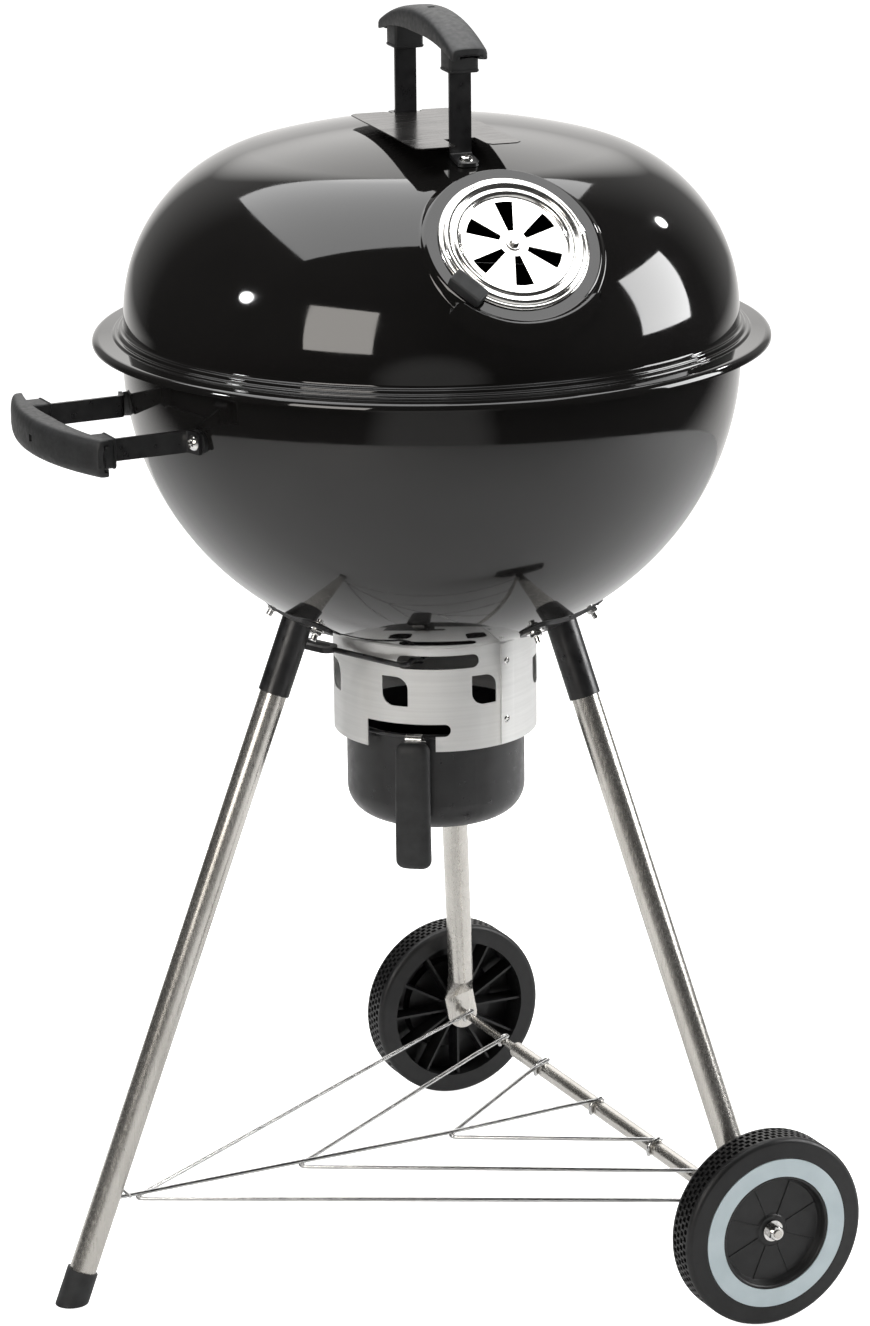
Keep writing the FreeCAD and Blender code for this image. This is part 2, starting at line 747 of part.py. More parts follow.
def make_wheel():
    """Wheel body with its outer face towards +X, drawn about the axle's centre line."""
    w1 = WHEEL_W
    tread = 6.0
    bore = AXLE_R + RUN_FIT
    outline = [(tread + 66, 0.0), (WHEEL_R - 5.0, 0.0), (WHEEL_R, 4.0)]
    for k in range(TREAD_GROOVES):
        x0 = 8.0 + k * 6.0
        low = WHEEL_R - 1.6
        outline += [(WHEEL_R, x0), (low, x0 + 0.5), (low, x0 + 1.5), (WHEEL_R, x0 + 2.0)]
    outline += [
        (WHEEL_R, w1 - 6.0), (WHEEL_R - 6.0, w1 - 0.6), (RING_OUT + 0.15, w1),
        (RING_OUT + 0.15, w1 - 2.0), (RING_IN - 0.15, w1 - 2.0), (RING_IN - 0.15, w1 - 0.5),
        (RING_IN - 3.0, w1 - 0.5), (RING_IN - 6.0, w1 - 9.0), (16.0, w1 - 9.0), (14.0, w1 - 7.5),
        (bore, w1 - 7.5), (bore, 1.0), (13.0, 1.0), (13.0, w1 - 12.5), (RING_IN - 8.0, w1 - 12.5),
        (RING_IN - 5.0, w1 - 5.5), (tread + 66, w1 - 5.5),
    ]
    pts = [V(x, r, 0) for r, x in outline]
    wire = Part.makePolygon(pts + [pts[0]])
    wheel = fix(Part.Face(wire).revolve(V(0, 0, 0), V(1, 0, 0), 360))
    ribs = [turn(box(4.0, w1 - 11.0, -1.2, 1.2, 11.0, tread + 69), 30 * k, V(1, 0, 0)) for k in range(12)]
    return one(wheel.fuse(ribs))


wheel = make_wheel()
ring = Part.makeCylinder(RING_OUT, 2.0, V(WHEEL_W - 1.9, 0, 0), V(1, 0, 0))
ring = ring.cut(Part.makeCylinder(RING_IN, 4.0, V(WHEEL_W - 3, 0, 0), V(1, 0, 0)))
for name, deg in (("right", 0), ("left", 180)):
    for part, shape in (("wheel_" + name, wheel), ("wheel_ring_" + name, ring)):
        placed = moved(shape, V(WHEEL_IN, 0, 0))
        placed = turn(placed, deg)
        save(part, moved(placed, V(0, HUB_Y, AXLE_Z)))

washers = []
nuts = []
for side in (-1, 1):
    inner0 = side * (HUB_X + 3.7)
    inner1 = side * (WHEEL_IN + 1.0 - GAP)
    washers.append(ring_x(9.5, AXLE_R + RUN_FIT, min(inner0, inner1), max(inner0, inner1)))
    out0 = WHEEL_OUT - 7.5 + GAP
    washers.append(ring_x(10.0, AXLE_R + RUN_FIT, *sorted((side * out0, side * (out0 + 1.5)))))
    nut = hexagon(13.0, 8.0, V(0, 0, 0), V(side, 0, 0))
    nut = nut.cut(cyl(AXLE_R + 0.02, V(-20, 0, 0), V(20, 0, 0)))
    nuts.append(moved(nut, on_axle(side * (out0 + 1.6))))
save("axle_washers", group(washers))
save("axle_nuts", group(nuts))


# ---- wire rack ---------------------------------------------------------------------
def make_collar(x):
    """Short ring that holds a wire's end on the axle or on its sleeve."""
    r = AXLE_R if x < SLEEVE_FROM else SLEEVE_R
    return tube(SLEEVE_R + RACK_COLLAR_T, r + RUN_FIT, on_axle(x - 2.5), on_axle(x + 2.5))


def make_rack():
    """Three V wires and a centre wire welded on top of them; collars hold them on the axle."""
    z = AXLE_Z
    parts = []
    for apex, end in zip(RACK_APEX, RACK_ENDS):
        reach = HUB_Y - SLEEVE_R - 1.6
        tips = [V(side * end, reach, z) for side in (-1, 1)]
        vee = bent_rod([tips[0], V(0, apex, z), tips[1]], RACK_BEND, RACK_WIRE)
        parts.append(vee)
    start = V(0, RACK_APEX[0] - RACK_TAIL, z + RACK_LIFT)
    centre = cyl(RACK_WIRE, start, V(0, HUB_Y - 9.0, z + RACK_LIFT))
    parts.append(centre)
    collars = [make_collar(side * end) for end in RACK_ENDS for side in (-1, 1)] + [make_collar(0)]
    return group(parts + collars)


save("wire_rack", make_rack())
cotter_z = AXLE_Z + RACK_LIFT + RACK_WIRE + 1.6
cotter_y = RACK_APEX[0] - RACK_TAIL / 2
cotter = cyl(1.6, V(-9, cotter_y, cotter_z), V(9, cotter_y, cotter_z))
save("rack_cotter", cotter)


# ---- lid ---------------------------------------------------------------------------
def lid_curve(t):
    """Crown, shoulder and wall of the lid, t inside the outer surface, centre outwards."""
    span = CROWN_R - SHOULDER_R
    off = LID_R - SHOULDER_R
    a = math.asin(off / span)
    zc = SHOULDER_Z - span * math.cos(a)
    rc = CROWN_R - t
    rs = SHOULDER_R - t
    crown = arc(xz(0, zc + rc), xz(rc * math.sin(a / 2), zc + rc * math.cos(a / 2)),
                xz(rc * math.sin(a), zc + rc * math.cos(a)))
    b = (math.pi / 2 - a) / 2
    joint = xz(rc * math.sin(a), zc + rc * math.cos(a))
    shoulder = arc(joint, xz(off + rs * math.cos(b), SHOULDER_Z + rs * math.sin(b)),
                   xz(off + rs, SHOULDER_Z))
    return [crown, shoulder], xz(0, zc + rc)


def lid_z(r):
    span = CROWN_R - SHOULDER_R
    off = LID_R - SHOULDER_R
    a = math.asin(off / span)
    if r < CROWN_R * math.sin(a):
        return SHOULDER_Z - span * math.cos(a) + math.sqrt(CROWN_R ** 2 - r ** 2)
    return SHOULDER_Z + math.sqrt(SHOULDER_R ** 2 - (r - off) ** 2)


def lid_slope(r):
    step = 0.5
    return math.degrees(math.atan((lid_z(r - step) - lid_z(r + step)) / (2 * step)))


def chain(points):
    """Edges through points; a point given as a triple is the middle of an arc."""
    edges = []
    last = xz(*points[0])
    mid = None
    for p in points[1:]:
        if len(p) == 3:
            mid = xz(p[0], p[1])
            continue
        here = xz(*p)
        edges.append(arc(last, mid, here) if mid else seg(last, here))
        last = here
        mid = None
    return edges


def make_lid_blank():
    outer, top = lid_curve(0)
    inner, low_top = lid_curve(LID_T)
    lip = FLANGE_LIP_Z
    rim_top = [
        (LID_R, SHOULDER_Z), (LID_R, 901.8), (282.6, 899.8, 0), (284.8, 899.0),
        (286.4, 898.4, 0), (287.0, 896.8), (287.4, 895.7, 0), (288.5, 895.3),
        (290.0, 895.3), (291.2, 894.9, 0), (291.8, 893.8), (292.1, 893.3, 0), (293.0, 893.1),
        (305.4, 892.1), (309.5, 890.2, 0), (FLANGE_R, 886.8), (FLANGE_R, lip),
        (FLANGE_R - LID_T, lip), (FLANGE_R - LID_T, 886.6), (308.3, 889.2, 0), (305.2, 890.6),
        (292.0, 891.6), (289.3, 893.8), (286.9, 893.9), (285.6, 894.4), (285.0, 897.2),
        (282.2, 897.7), (LID_R - LID_T, 899.4), (LID_R - LID_T, SHOULDER_Z),
    ]
    edges = outer + inner + chain(rim_top) + [seg(top, low_top)]
    return revolve(edges)


def damper_frame():
    """Placement of the damper: local z is the lid's normal, local y points up the slope."""
    phi = math.radians(lid_slope(DAMPER_AT))
    n = V(math.sin(phi), 0, math.cos(phi))
    up = V(-math.cos(phi), 0, math.sin(phi))
    side = up.cross(n)
    p = V(DAMPER_AT, 0, lid_z(DAMPER_AT)) - n * DAMPER_SEAT
    m = FreeCAD.Matrix(side.x, up.x, n.x, p.x, side.y, up.y, n.y, p.y, side.z, up.z, n.z, p.z,
                       0, 0, 0, 1)
    spin = FreeCAD.Placement(V(0, 0, 0), FreeCAD.Rotation(Z, DAMPER_AZ))
    return spin.multiply(FreeCAD.Placement(m))


DAMPER = damper_frame()


def at_damper(shape):
    out = shape.copy()
    out.Placement = DAMPER.multiply(out.Placement)
    return out


def wedges(z0, z1, grow=0.0):
    cuts = []
    for k in range(WEDGES):
        mid = 90 + 360.0 / WEDGES * k
        a0 = mid - WEDGE_DEG / 2 - grow
        cuts.append(sector(WEDGE_IN, WEDGE_OUT + grow, a0, mid + WEDGE_DEG / 2 + grow, z0, z1))
    return Part.makeCompound(cuts)


def make_lid():
    lid = make_lid_blank()
    rs = DAMPER_SEAT_R
    t = LID_T
    deep = 34.0
    bore = at_damper(Part.makeCylinder(rs - t, 80, V(0, 0, -deep)))
    lid = one(lid.cut(bore))
    floor = Part.makeCylinder(rs, t, V(0, 0, -t))
    wall = Part.makeCone(rs + deep * 0.12, rs, deep, V(0, 0, -deep))
    core = Part.makeCone(rs - t + deep * 0.12, rs - t, deep, V(0, 0, -deep))
    hull = wall.cut(core).fuse(floor)
    hull = at_damper(hull)
    inner_edges, low = lid_curve(LID_T)
    middle = xz(0, SHOULDER_Z)
    hollow = revolve(inner_edges + [seg(low, middle), seg(middle, xz(LID_R - LID_T, SHOULDER_Z))])
    # the pressed ring stands out of the lid, so only its part outside the inner skin is kept
    floor = at_damper(floor)
    ring_out = hull.cut(hollow)
    lid = one(lid.fuse([ring_out, floor]).removeSplitter())
    lid = lid.cut(at_damper(wedges(-t - 5, 5)))
    lid = lid.cut(at_damper(Part.makeCylinder(RIVET_R + RUN_FIT, 20, V(0, 0, -10))))
    return one(lid)


def make_damper():
    t = DAMPER_T
    b0 = DAMPER_BEAD_IN
    b1 = DAMPER_BEAD_OUT
    h = DAMPER_BEAD_H
    mid = (b0 + b1) / 2
    r = RIVET_R + RUN_FIT
    points = [
        (r, 0), (b0 + 1, 0), (b0 + 1.6, h - 0.6, 0), (mid, h), (b1 - 1.6, h - 0.6, 0), (b1 - 1, 0),
        (DAMPER_R, 0), (DAMPER_R, t), (b1, t), (b1 - 1.3, h + t - 0.9, 0), (mid, h + t),
        (b0 + 1.3, h + t - 0.9, 0), (b0 - 1, t), (r, t), (r, 0),
    ]
    disc = revolve(chain(points))
    disc = disc.cut(wedges(-5, 10))
    return one(disc)


LIFT = 0.35
disc = moved(make_damper(), V(0, 0, LIFT))
save("lid_damper_disc", at_damper(disc))

tab_r = DAMPER_R - 6.0
tab = box(tab_r, tab_r + TAB_W, -TAB_L / 2, TAB_L / 2, LIFT + DAMPER_T + 0.05, LIFT + DAMPER_T + TAB_H)
tab = tab.makeFillet(1.6, [e for e in tab.Edges if e.CenterOfMass.z > LIFT + DAMPER_T + 2])
lip_half = TAB_L / 2 - 1.7
tab_lip = box(DAMPER_R + 0.4, tab_r + TAB_W, -lip_half, lip_half, LIFT + 0.1,
              LIFT + DAMPER_T + 0.5)
tab = one(tab.fuse(tab_lip).removeSplitter())
tab_bead = revolve(chain([(DAMPER_BEAD_IN - 2, 0), (DAMPER_BEAD_OUT + 1.0, 0),
                          (DAMPER_BEAD_OUT + 1.0, 6.0), (DAMPER_BEAD_IN - 2, 6.0),
                          (DAMPER_BEAD_IN - 2, 0)]))
tab = one(turn(tab, TAB_ANGLE).cut(tab_bead))
save("lid_damper_tab", at_damper(tab))

rivet = union([
    Part.makeCylinder(RIVET_R, DAMPER_T + LIFT + 6.0, V(0, 0, -5.0)),
    Part.makeCylinder(7.0, 1.2, V(0, 0, LIFT + DAMPER_T + GAP)),
    Part.makeCylinder(6.5, 1.4, V(0, 0, -LID_T - 1.6)),
])
rivet_nut = hexagon(8.0, 4.0, V(0, 0, LIFT + DAMPER_T + GAP + 1.0), Z)
rivet = one(union([rivet, rivet_nut]))
save("lid_damper_rivet", at_damper(rivet))


# ---- lid handle --------------------------------------------------------------------
def on_lid_handle(shape):
    return turn(moved(shape, V(0, HANDLE_SIDE, 0)), HANDLE_AZ)


def lid_strap(x, side):
    """Upright flat bar whose foot is bent out along the lid."""
    lift = STRAP_T / 2 + 0.25
    r = math.hypot(x, HANDLE_SIDE)
    slope = math.radians(lid_slope(r)) * 1.0
    corner = V(x, 0, lid_z(r) + lift)
    reach = 26.0
    foot_end = V(x + side * reach, 0, corner.z - reach * math.tan(slope))
    strap = bent_strip([V(x, 0, LID_STRAP_TOP), corner, foot_end], 4.0, STRAP_T, STRAP_W)
    bolt_x = x + side * 15.5
    up = V(side * math.sin(slope), 0, math.cos(slope))
    base = V(bolt_x, 0, corner.z - (15.5) * math.tan(slope)) + up * (STRAP_T / 2)
    hole = cyl(3.05, base - up * 12, base + up * 6)
    head = dome_head(6.5, 4.2, base + up * 0.05, up)
    shank = cyl(3.0, base - up * 9.5, base + up * 1.0)
    nut_base = base - up * (STRAP_T + 0.25 + LID_T + 0.35)
    nut = hexagon(10.0, 4.5, nut_base, up * -1).cut(cyl(3.02, base - up * 30, base + up * 30))
    edge = [e for e in strap.Edges if abs(e.BoundBox.XMin - e.BoundBox.XMax) < 2.0
            and abs(e.CenterOfMass.x - foot_end.x) < 2.5 and e.BoundBox.YLength < 0.1]
    strap = strap.makeFillet(7.0, edge) if len(edge) == 2 else strap
    return strap.cut(hole), head.fuse(shank).removeSplitter(), nut, cyl(3.1, base - up * 30, base)


strap_f, bolt_f, nut_f, hole_f = lid_strap(LID_STRAP_FRONT, 1)
strap_r, bolt_r, nut_r, hole_r = lid_strap(LID_STRAP_REAR, -1)
save("lid_handle_strap_front", on_lid_handle(strap_f))
save("lid_handle_strap_rear", on_lid_handle(strap_r))
lid = make_lid().cut([on_lid_handle(hole_f), on_lid_handle(hole_r)])
save("lid_shell", one(lid))
save("lid_handle_bolts", on_lid_handle(group([bolt_f, bolt_r])))
save("lid_handle_nuts", on_lid_handle(group([nut_f, nut_r])))


def make_grip(span):
    """Arched grip about x = 0: end blocks at z = 0, top of the arch at z = rise + socket."""
    half = span / 2 + GRIP_END
    block = 13.0
    top_mid = GRIP_SOCKET + GRIP_RISE
    low_mid = top_mid - GRIP_MID_T
    x_in = span / 2 - block
    x_out = span / 2 + block
    edges = [
        seg(xz(-x_out, 0), xz(-x_in, 0)),
        seg(xz(-x_in, 0), xz(-x_in, 7.0)),
        arc(xz(-x_in, 7.0), xz(-x_in + 5.5, 15.0), xz(-x_in + 15.0, 19.5)),
        arc(xz(-x_in + 15.0, 19.5), xz(0, low_mid), xz(x_in - 15.0, 19.5)),
        arc(xz(x_in - 15.0, 19.5), xz(x_in - 5.5, 15.0), xz(x_in, 7.0)),
        seg(xz(x_in, 7.0), xz(x_in, 0)),
        seg(xz(x_in, 0), xz(x_out, 0)),
        seg(xz(x_out, 0), xz(x_out, 7.0)),
        arc(xz(x_out, 7.0), xz(x_out + 5.0, 10.2), xz(half - 2.0, 12.0)),
        arc(xz(half - 2.0, 12.0), xz(half + 1.0, 17.0), xz(half - 2.5, 22.0)),
        arc(xz(half - 2.5, 22.0), xz(0, top_mid), xz(-half + 2.5, 22.0)),
        arc(xz(-half + 2.5, 22.0), xz(-half - 1.0, 17.0), xz(-half + 2.0, 12.0)),
        arc(xz(-half + 2.0, 12.0), xz(-x_out - 5.0, 10.2), xz(-x_out, 7.0)),
        seg(xz(-x_out, 7.0), xz(-x_out, 0)),
    ]
    face = Part.Face(Part.Wire(edges))
    w = GRIP_W / 2
    body = moved(face.extrude(V(0, 2 * w, 0)), V(0, -w, 0))
    trim = box(-half - 20, half + 20, -w - 1, w + 1, -1, 9.0)
    neck = box(-half - 20, half + 20, -w + 3.5, w - 3.5, -2, 10.0)
    body = one(body.cut(trim.cut(neck)))
    slot = box(-6, 6, -2.2, 2.2, top_mid - 3.0, top_mid + 5)
    body = body.cut(slot)
    for sx in (-1, 1):
        x = sx * span / 2
        hole = box(x - STRAP_T / 2 - 0.05, x + STRAP_T / 2 + 0.05,
                   -STRAP_W / 2 - 0.05, STRAP_W / 2 + 0.05, -5, 13.05)
        body = body.cut(hole)
    return one(body)


lid_span = LID_STRAP_FRONT - LID_STRAP_REAR
grip = make_grip(lid_span)
grip_x = (LID_STRAP_FRONT + LID_STRAP_REAR) / 2
save("lid_handle_grip", on_lid_handle(moved(grip, V(grip_x, 0, LID_GRIP_Z))))


def make_shield():
    """Thin heat shield with a notch at each end for the handle's straps."""
    x0 = SHIELD_BACK
    x1 = SHIELD_FRONT
    side = SHIELD_SIDE - HANDLE_SIDE
    w = SHIELD_W / 2
    inner_f = LID_STRAP_FRONT - STRAP_T / 2 - 0.4
    inner_b = LID_STRAP_REAR + STRAP_T / 2 + 0.4
    n_in = 14.5
    n_out = 18.5
    pts = [V(x0, side - w + 5, 0), V(x0 + 5, side - w, 0), V(x1 - 5, side - w, 0),
           V(x1, side - w + 5, 0), V(x1, -n_out, 0), V(x1 - 6, -n_in, 0), V(inner_f, -n_in, 0),
           V(inner_f, n_in, 0), V(x1 - 6, n_in, 0), V(x1, n_out, 0), V(x1, side + w - 5, 0),
           V(x1 - 5, side + w, 0), V(x0 + 5, side + w, 0), V(x0, side + w - 5, 0),
           V(x0, n_out, 0), V(x0 + 4, n_in, 0), V(inner_b, n_in, 0), V(inner_b, -n_in, 0),
           V(x0 + 4, -n_in, 0), V(x0, -n_out, 0)]
    plate = extrude_polygon(pts, V(0, 0, SHIELD_T))
    return moved(plate, V(0, 0, SHIELD_Z))


save("lid_heat_shield", on_lid_handle(make_shield()))


# ---- bowl handle -------------------------------------------------------------------
def bowl_strap(side):
    """Flat bar on edge, bent flush to the bowl at its inner end. Drawn towards +X."""
    y = side * BOWL_STRAP_AT
    grow = 6.0
    a = BOWL_R + grow
    b = BOWL_DEPTH + grow
    wall = a * math.sqrt(1 - ((BOWL_HANDLE_Z - BOWL_Z) / b) ** 2)
    corner_x = math.sqrt(wall ** 2 - y * y)
    tangent = math.degrees(math.atan2(y, corner_x))
    way = polar(1, tangent + side * 90)
    reach = 17.0
    corner = V(corner_x, 0, y)
    foot = V(corner_x + way.x * reach, 0, y + way.y * reach)
    tip = V(BOWL_GRIP_AT + 13.0, 0, y)
    strip = bent_strip([tip, corner, foot], 4.0, STRAP_T, STRAP_W)
    # drawn in XZ, so tip it over onto XY
    strip.rotate(V(0, 0, 0), V(1, 0, 0), 90)
    mirror = strip.mirror(V(0, 0, 0), V(0, 1, 0))
    return moved(mirror, V(0, 0, BOWL_HANDLE_Z))


def bowl_foot_line(side, s0, s1):
    y = side * (BOWL_STRAP_AT + 9.0)
    r = (BOWL_R) * math.sqrt(1 - ((BOWL_HANDLE_Z - BOWL_Z) / BOWL_DEPTH) ** 2)
    az = math.degrees(math.asin(y / (r + 6)))
    n = polar(1, az, 0)
    return polar(r + s0, az, BOWL_HANDLE_Z), polar(r + s1, az, BOWL_HANDLE_Z), n


bowl_bolts = []
bowl_spacers = []
straps = {}
for side in (-1, 1):
    strap = bowl_strap(side)
    p0, p1, n = bowl_foot_line(side, -12, 20)
    strap = one(strap.cut(cyl(3.05, p0, p1)))
    straps[side] = strap
    outside = bowl_body(0.1)
    start, end, n = bowl_foot_line(side, -4, 4.1)
    spacer = cyl(11.0, start, end).cut(outside).cut(cyl(3.05, p0, p1))
    bowl_spacers.append(one(spacer))
    head0, _, n = bowl_foot_line(side, 8.3, 12)
    head = dome_head(7.0, 4.0, head0, n)
    shank0, shank1, n = bowl_foot_line(side, 4.3, 9.3)
    bowl_bolts.append(one(head.fuse(cyl(3.0, shank0, shank1)).removeSplitter()))

for side, name in ((-1, "right"), (1, "left")):
    save("bowl_handle_strap_" + name, turn(straps[side], BOWL_HANDLE_AZ))
save("bowl_handle_bolts", turn(group(bowl_bolts), BOWL_HANDLE_AZ))
save("bowl_handle_spacers", turn(group(bowl_spacers), BOWL_HANDLE_AZ))
bowl_grip = make_grip(2 * BOWL_STRAP_AT)
# local z becomes the way out from the bowl, local x lies across it
bowl_grip.rotate(V(0, 0, 0), V(0, 0, 1), 90)
bowl_grip.rotate(V(0, 0, 0), V(0, 1, 0), 90)
bowl_grip = moved(bowl_grip, V(BOWL_GRIP_AT, 0, BOWL_HANDLE_Z))
save("bowl_handle_grip", turn(bowl_grip, BOWL_HANDLE_AZ))
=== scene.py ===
import json
import math

import bpy
from mathutils import Matrix, Vector
from mathutils.geometry import delaunay_2d_cdt

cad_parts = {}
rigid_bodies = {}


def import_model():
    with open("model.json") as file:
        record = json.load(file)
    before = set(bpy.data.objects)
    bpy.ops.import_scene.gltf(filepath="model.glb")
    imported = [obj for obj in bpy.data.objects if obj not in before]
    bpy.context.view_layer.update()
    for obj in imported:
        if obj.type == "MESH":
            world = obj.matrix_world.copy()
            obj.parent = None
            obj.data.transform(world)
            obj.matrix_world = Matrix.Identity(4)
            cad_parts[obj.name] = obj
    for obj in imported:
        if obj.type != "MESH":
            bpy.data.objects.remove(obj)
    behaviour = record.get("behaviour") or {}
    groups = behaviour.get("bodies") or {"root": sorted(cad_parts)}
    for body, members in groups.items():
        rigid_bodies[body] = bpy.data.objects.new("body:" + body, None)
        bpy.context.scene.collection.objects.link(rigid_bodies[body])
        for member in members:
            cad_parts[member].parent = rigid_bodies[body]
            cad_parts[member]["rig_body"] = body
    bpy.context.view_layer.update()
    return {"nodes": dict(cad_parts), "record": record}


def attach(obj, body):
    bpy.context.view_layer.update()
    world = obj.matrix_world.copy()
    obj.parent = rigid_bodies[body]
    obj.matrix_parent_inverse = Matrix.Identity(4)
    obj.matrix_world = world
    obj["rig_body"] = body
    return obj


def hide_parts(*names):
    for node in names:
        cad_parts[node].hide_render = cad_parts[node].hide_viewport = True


# Looks of the kettle charcoal grill. The row frame is in metres, +Z up. The kettle's own axis
# stands at (0, AXIS_Y), the front leg is towards -Y and the wheel axle lies along X. Shapes are
# written in millimetres about the kettle's axis, and kettle() places them in the row frame.

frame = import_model()

MM = 0.001
AXIS_Y = 44.7 * MM
AROUND = 360                # segments round the lid, the bowl and the damper


# ---- shader helpers ----------------------------------------------------------------
class Surface:
    """A node material on one Principled shader, with noise for colour, roughness and bump."""

    def __init__(self, name, **sockets):
        self.mat = bpy.data.materials.new(name)
        self.mat.use_nodes = True
        self.nodes = self.mat.node_tree.nodes
        self.links = self.mat.node_tree.links
        self.bsdf = self.nodes["Principled BSDF"]
        for key, value in sockets.items():
            self.bsdf.inputs[key.replace("_", " ")].default_value = value
        self.coord = self.nodes.new("ShaderNodeTexCoord")
        self.normal = None

    def noise(self, scale, stretch=(1, 1, 1), detail=3.0, turn=(0, 0, 0), rough=0.5):
        mapping = self.nodes.new("ShaderNodeMapping")
        mapping.inputs["Scale"].default_value = stretch
        mapping.inputs["Rotation"].default_value = turn
        self.links.new(self.coord.outputs["Object"], mapping.inputs["Vector"])
        tex = self.nodes.new("ShaderNodeTexNoise")
        tex.inputs["Scale"].default_value = scale
        tex.inputs["Detail"].default_value = detail
        tex.inputs["Roughness"].default_value = rough
        self.links.new(mapping.outputs["Vector"], tex.inputs["Vector"])
        return tex.outputs["Fac"]

    def ranged(self, value, low, high, start=0.3, end=0.7):
        node = self.nodes.new("ShaderNodeMapRange")
        node.inputs["From Min"].default_value = start
        node.inputs["From Max"].default_value = end
        node.inputs["To Min"].default_value = low
        node.inputs["To Max"].default_value = high
        self.links.new(value, node.inputs["Value"])
        return node.outputs["Result"]

    def colours(self, value, dark, light, start=0.3, end=0.7):
        ramp = self.nodes.new("ShaderNodeValToRGB")
        ramp.color_ramp.elements[0].position = start
        ramp.color_ramp.elements[0].color = (*dark, 1)
        ramp.color_ramp.elements[1].position = end
        ramp.color_ramp.elements[1].color = (*light, 1)
        self.links.new(value, ramp.inputs["Fac"])
        self.links.new(ramp.outputs["Color"], self.bsdf.inputs["Base Color"])
        return self

    def roughness(self, value, low, high):
        self.links.new(self.ranged(value, low, high), self.bsdf.inputs["Roughness"])
        return self

    def bump(self, value, depth_mm, strength=1.0):
        node = self.nodes.new("ShaderNodeBump")
        node.inputs["Strength"].default_value = strength
        node.inputs["Distance"].default_value = depth_mm * MM
        self.links.new(value, node.inputs["Height"])
        if self.normal is not None:
            self.links.new(self.normal, node.inputs["Normal"])
        self.normal = node.outputs["Normal"]
        self.links.new(self.normal, self.bsdf.inputs["Normal"])
        return self


def enamel():
    s = Surface("enamel_black", IOR=1.54)
    s.colours(s.noise(9, detail=4), (0.0065, 0.0062, 0.006), (0.0095, 0.009, 0.0088))
    s.roughness(s.noise(40, detail=5), 0.035, 0.075)
    s.bump(s.noise(34, detail=1.0), 0.05, 0.35)
    s.bump(s.noise(420, detail=2.0), 0.006, 0.35)
    return s.mat


def black_paint():
    s = Surface("black_steel", IOR=1.5)
    s.colours(s.noise(60, detail=6), (0.010, 0.010, 0.011), (0.020, 0.020, 0.021))
    s.roughness(s.noise(120, detail=5), 0.26, 0.42)
    s.bump(s.noise(900, detail=3), 0.03, 0.5)
    s.bump(s.noise(60, detail=2), 0.05, 0.3)
    return s.mat


def chrome_tube():
    s = Surface("chrome_tube", Metallic=0.92)
    s.colours(s.noise(22, stretch=(1, 1, 0.15), detail=4), (0.53, 0.51, 0.475), (0.66, 0.64, 0.605))
    s.roughness(s.noise(700, stretch=(1, 1, 0.03), detail=4), 0.20, 0.30)
    s.bump(s.noise(900, stretch=(1, 1, 0.02), detail=3), 0.001, 0.2)
    s.bump(s.noise(12, stretch=(1, 1, 0.2), detail=1), 0.015, 0.2)
    return s.mat


def chrome_wire():
    s = Surface("chrome_wire", Metallic=1.0)
    s.colours(s.noise(80, detail=4), (0.50, 0.50, 0.50), (0.68, 0.68, 0.67))
    s.roughness(s.noise(200, detail=5), 0.14, 0.26)
    s.bump(s.noise(500, detail=3), 0.02, 0.4)
    return s.mat


def zinc():
    s = Surface("zinc_fastener", Metallic=1.0)
    s.colours(s.noise(300, detail=5), (0.56, 0.56, 0.55), (0.80, 0.79, 0.77))
    s.roughness(s.noise(500, detail=5), 0.12, 0.26)
    s.bump(s.noise(900, detail=3), 0.02, 0.5)
    return s.mat


def satin_steel():
    s = Surface("satin_steel", Metallic=0.72)
    s.colours(s.noise(120, stretch=(0.06, 0.06, 3.0), detail=6), (0.72, 0.72, 0.71), (0.78, 0.78, 0.77))
    s.roughness(s.noise(60, stretch=(0.5, 0.5, 3.0), detail=5), 0.30, 0.40)
    s.bump(s.noise(1300, stretch=(0.03, 0.03, 1.0), detail=3), 0.008, 0.4)
    s.bump(s.noise(18, detail=2), 0.12, 0.25)
    return s.mat


def polished_steel():
    s = Surface("polished_steel", Metallic=1.0)
    s.colours(s.noise(60, detail=5), (0.80, 0.79, 0.765), (0.90, 0.89, 0.87))
    s.roughness(s.noise(240, stretch=(1, 0.1, 1), detail=5), 0.14, 0.23)
    s.bump(s.noise(700, stretch=(1, 0.05, 1), detail=3), 0.008, 0.5)
    s.bump(s.noise(30, detail=1), 0.10, 0.2)
    return s.mat


def shield_steel():
    s = Surface("shield_steel", Metallic=0.85, IOR=1.5)
    s.colours(s.noise(40, detail=6), (0.060, 0.057, 0.055), (0.115, 0.110, 0.106))
    s.roughness(s.noise(160, stretch=(1, 0.1, 1), detail=5), 0.16, 0.30)
    s.bump(s.noise(900, stretch=(1, 0.06, 1), detail=3), 0.01, 0.5)
    return s.mat


def grip_plastic():
    s = Surface("grip_plastic", IOR=1.47)
    s.colours(s.noise(70, detail=6), (0.013, 0.0135, 0.014), (0.022, 0.0228, 0.024))
    s.roughness(s.noise(200, detail=5), 0.46, 0.62)
    s.bump(s.noise(1500, detail=4, rough=0.6), 0.05, 0.6)
    s.bump(s.noise(45, detail=2), 0.08, 0.3)
    return s.mat


def wheel_plastic():
    s = Surface("wheel_plastic", IOR=1.47)
    s.colours(s.noise(50, detail=6), (0.0050, 0.0050, 0.0054), (0.0100, 0.0100, 0.0104))
    s.roughness(s.noise(160, detail=5), 0.34, 0.52)
    s.bump(s.noise(1400, detail=3), 0.03, 0.5)
    return s.mat


def ring_plastic():
    s = Surface("ring_plastic", IOR=1.46)
    s.colours(s.noise(35, detail=5), (0.51, 0.60, 0.635), (0.59, 0.68, 0.715))
    s.roughness(s.noise(120, detail=5), 0.34, 0.48)
    s.bump(s.noise(900, detail=3), 0.02, 0.5)
    return s.mat


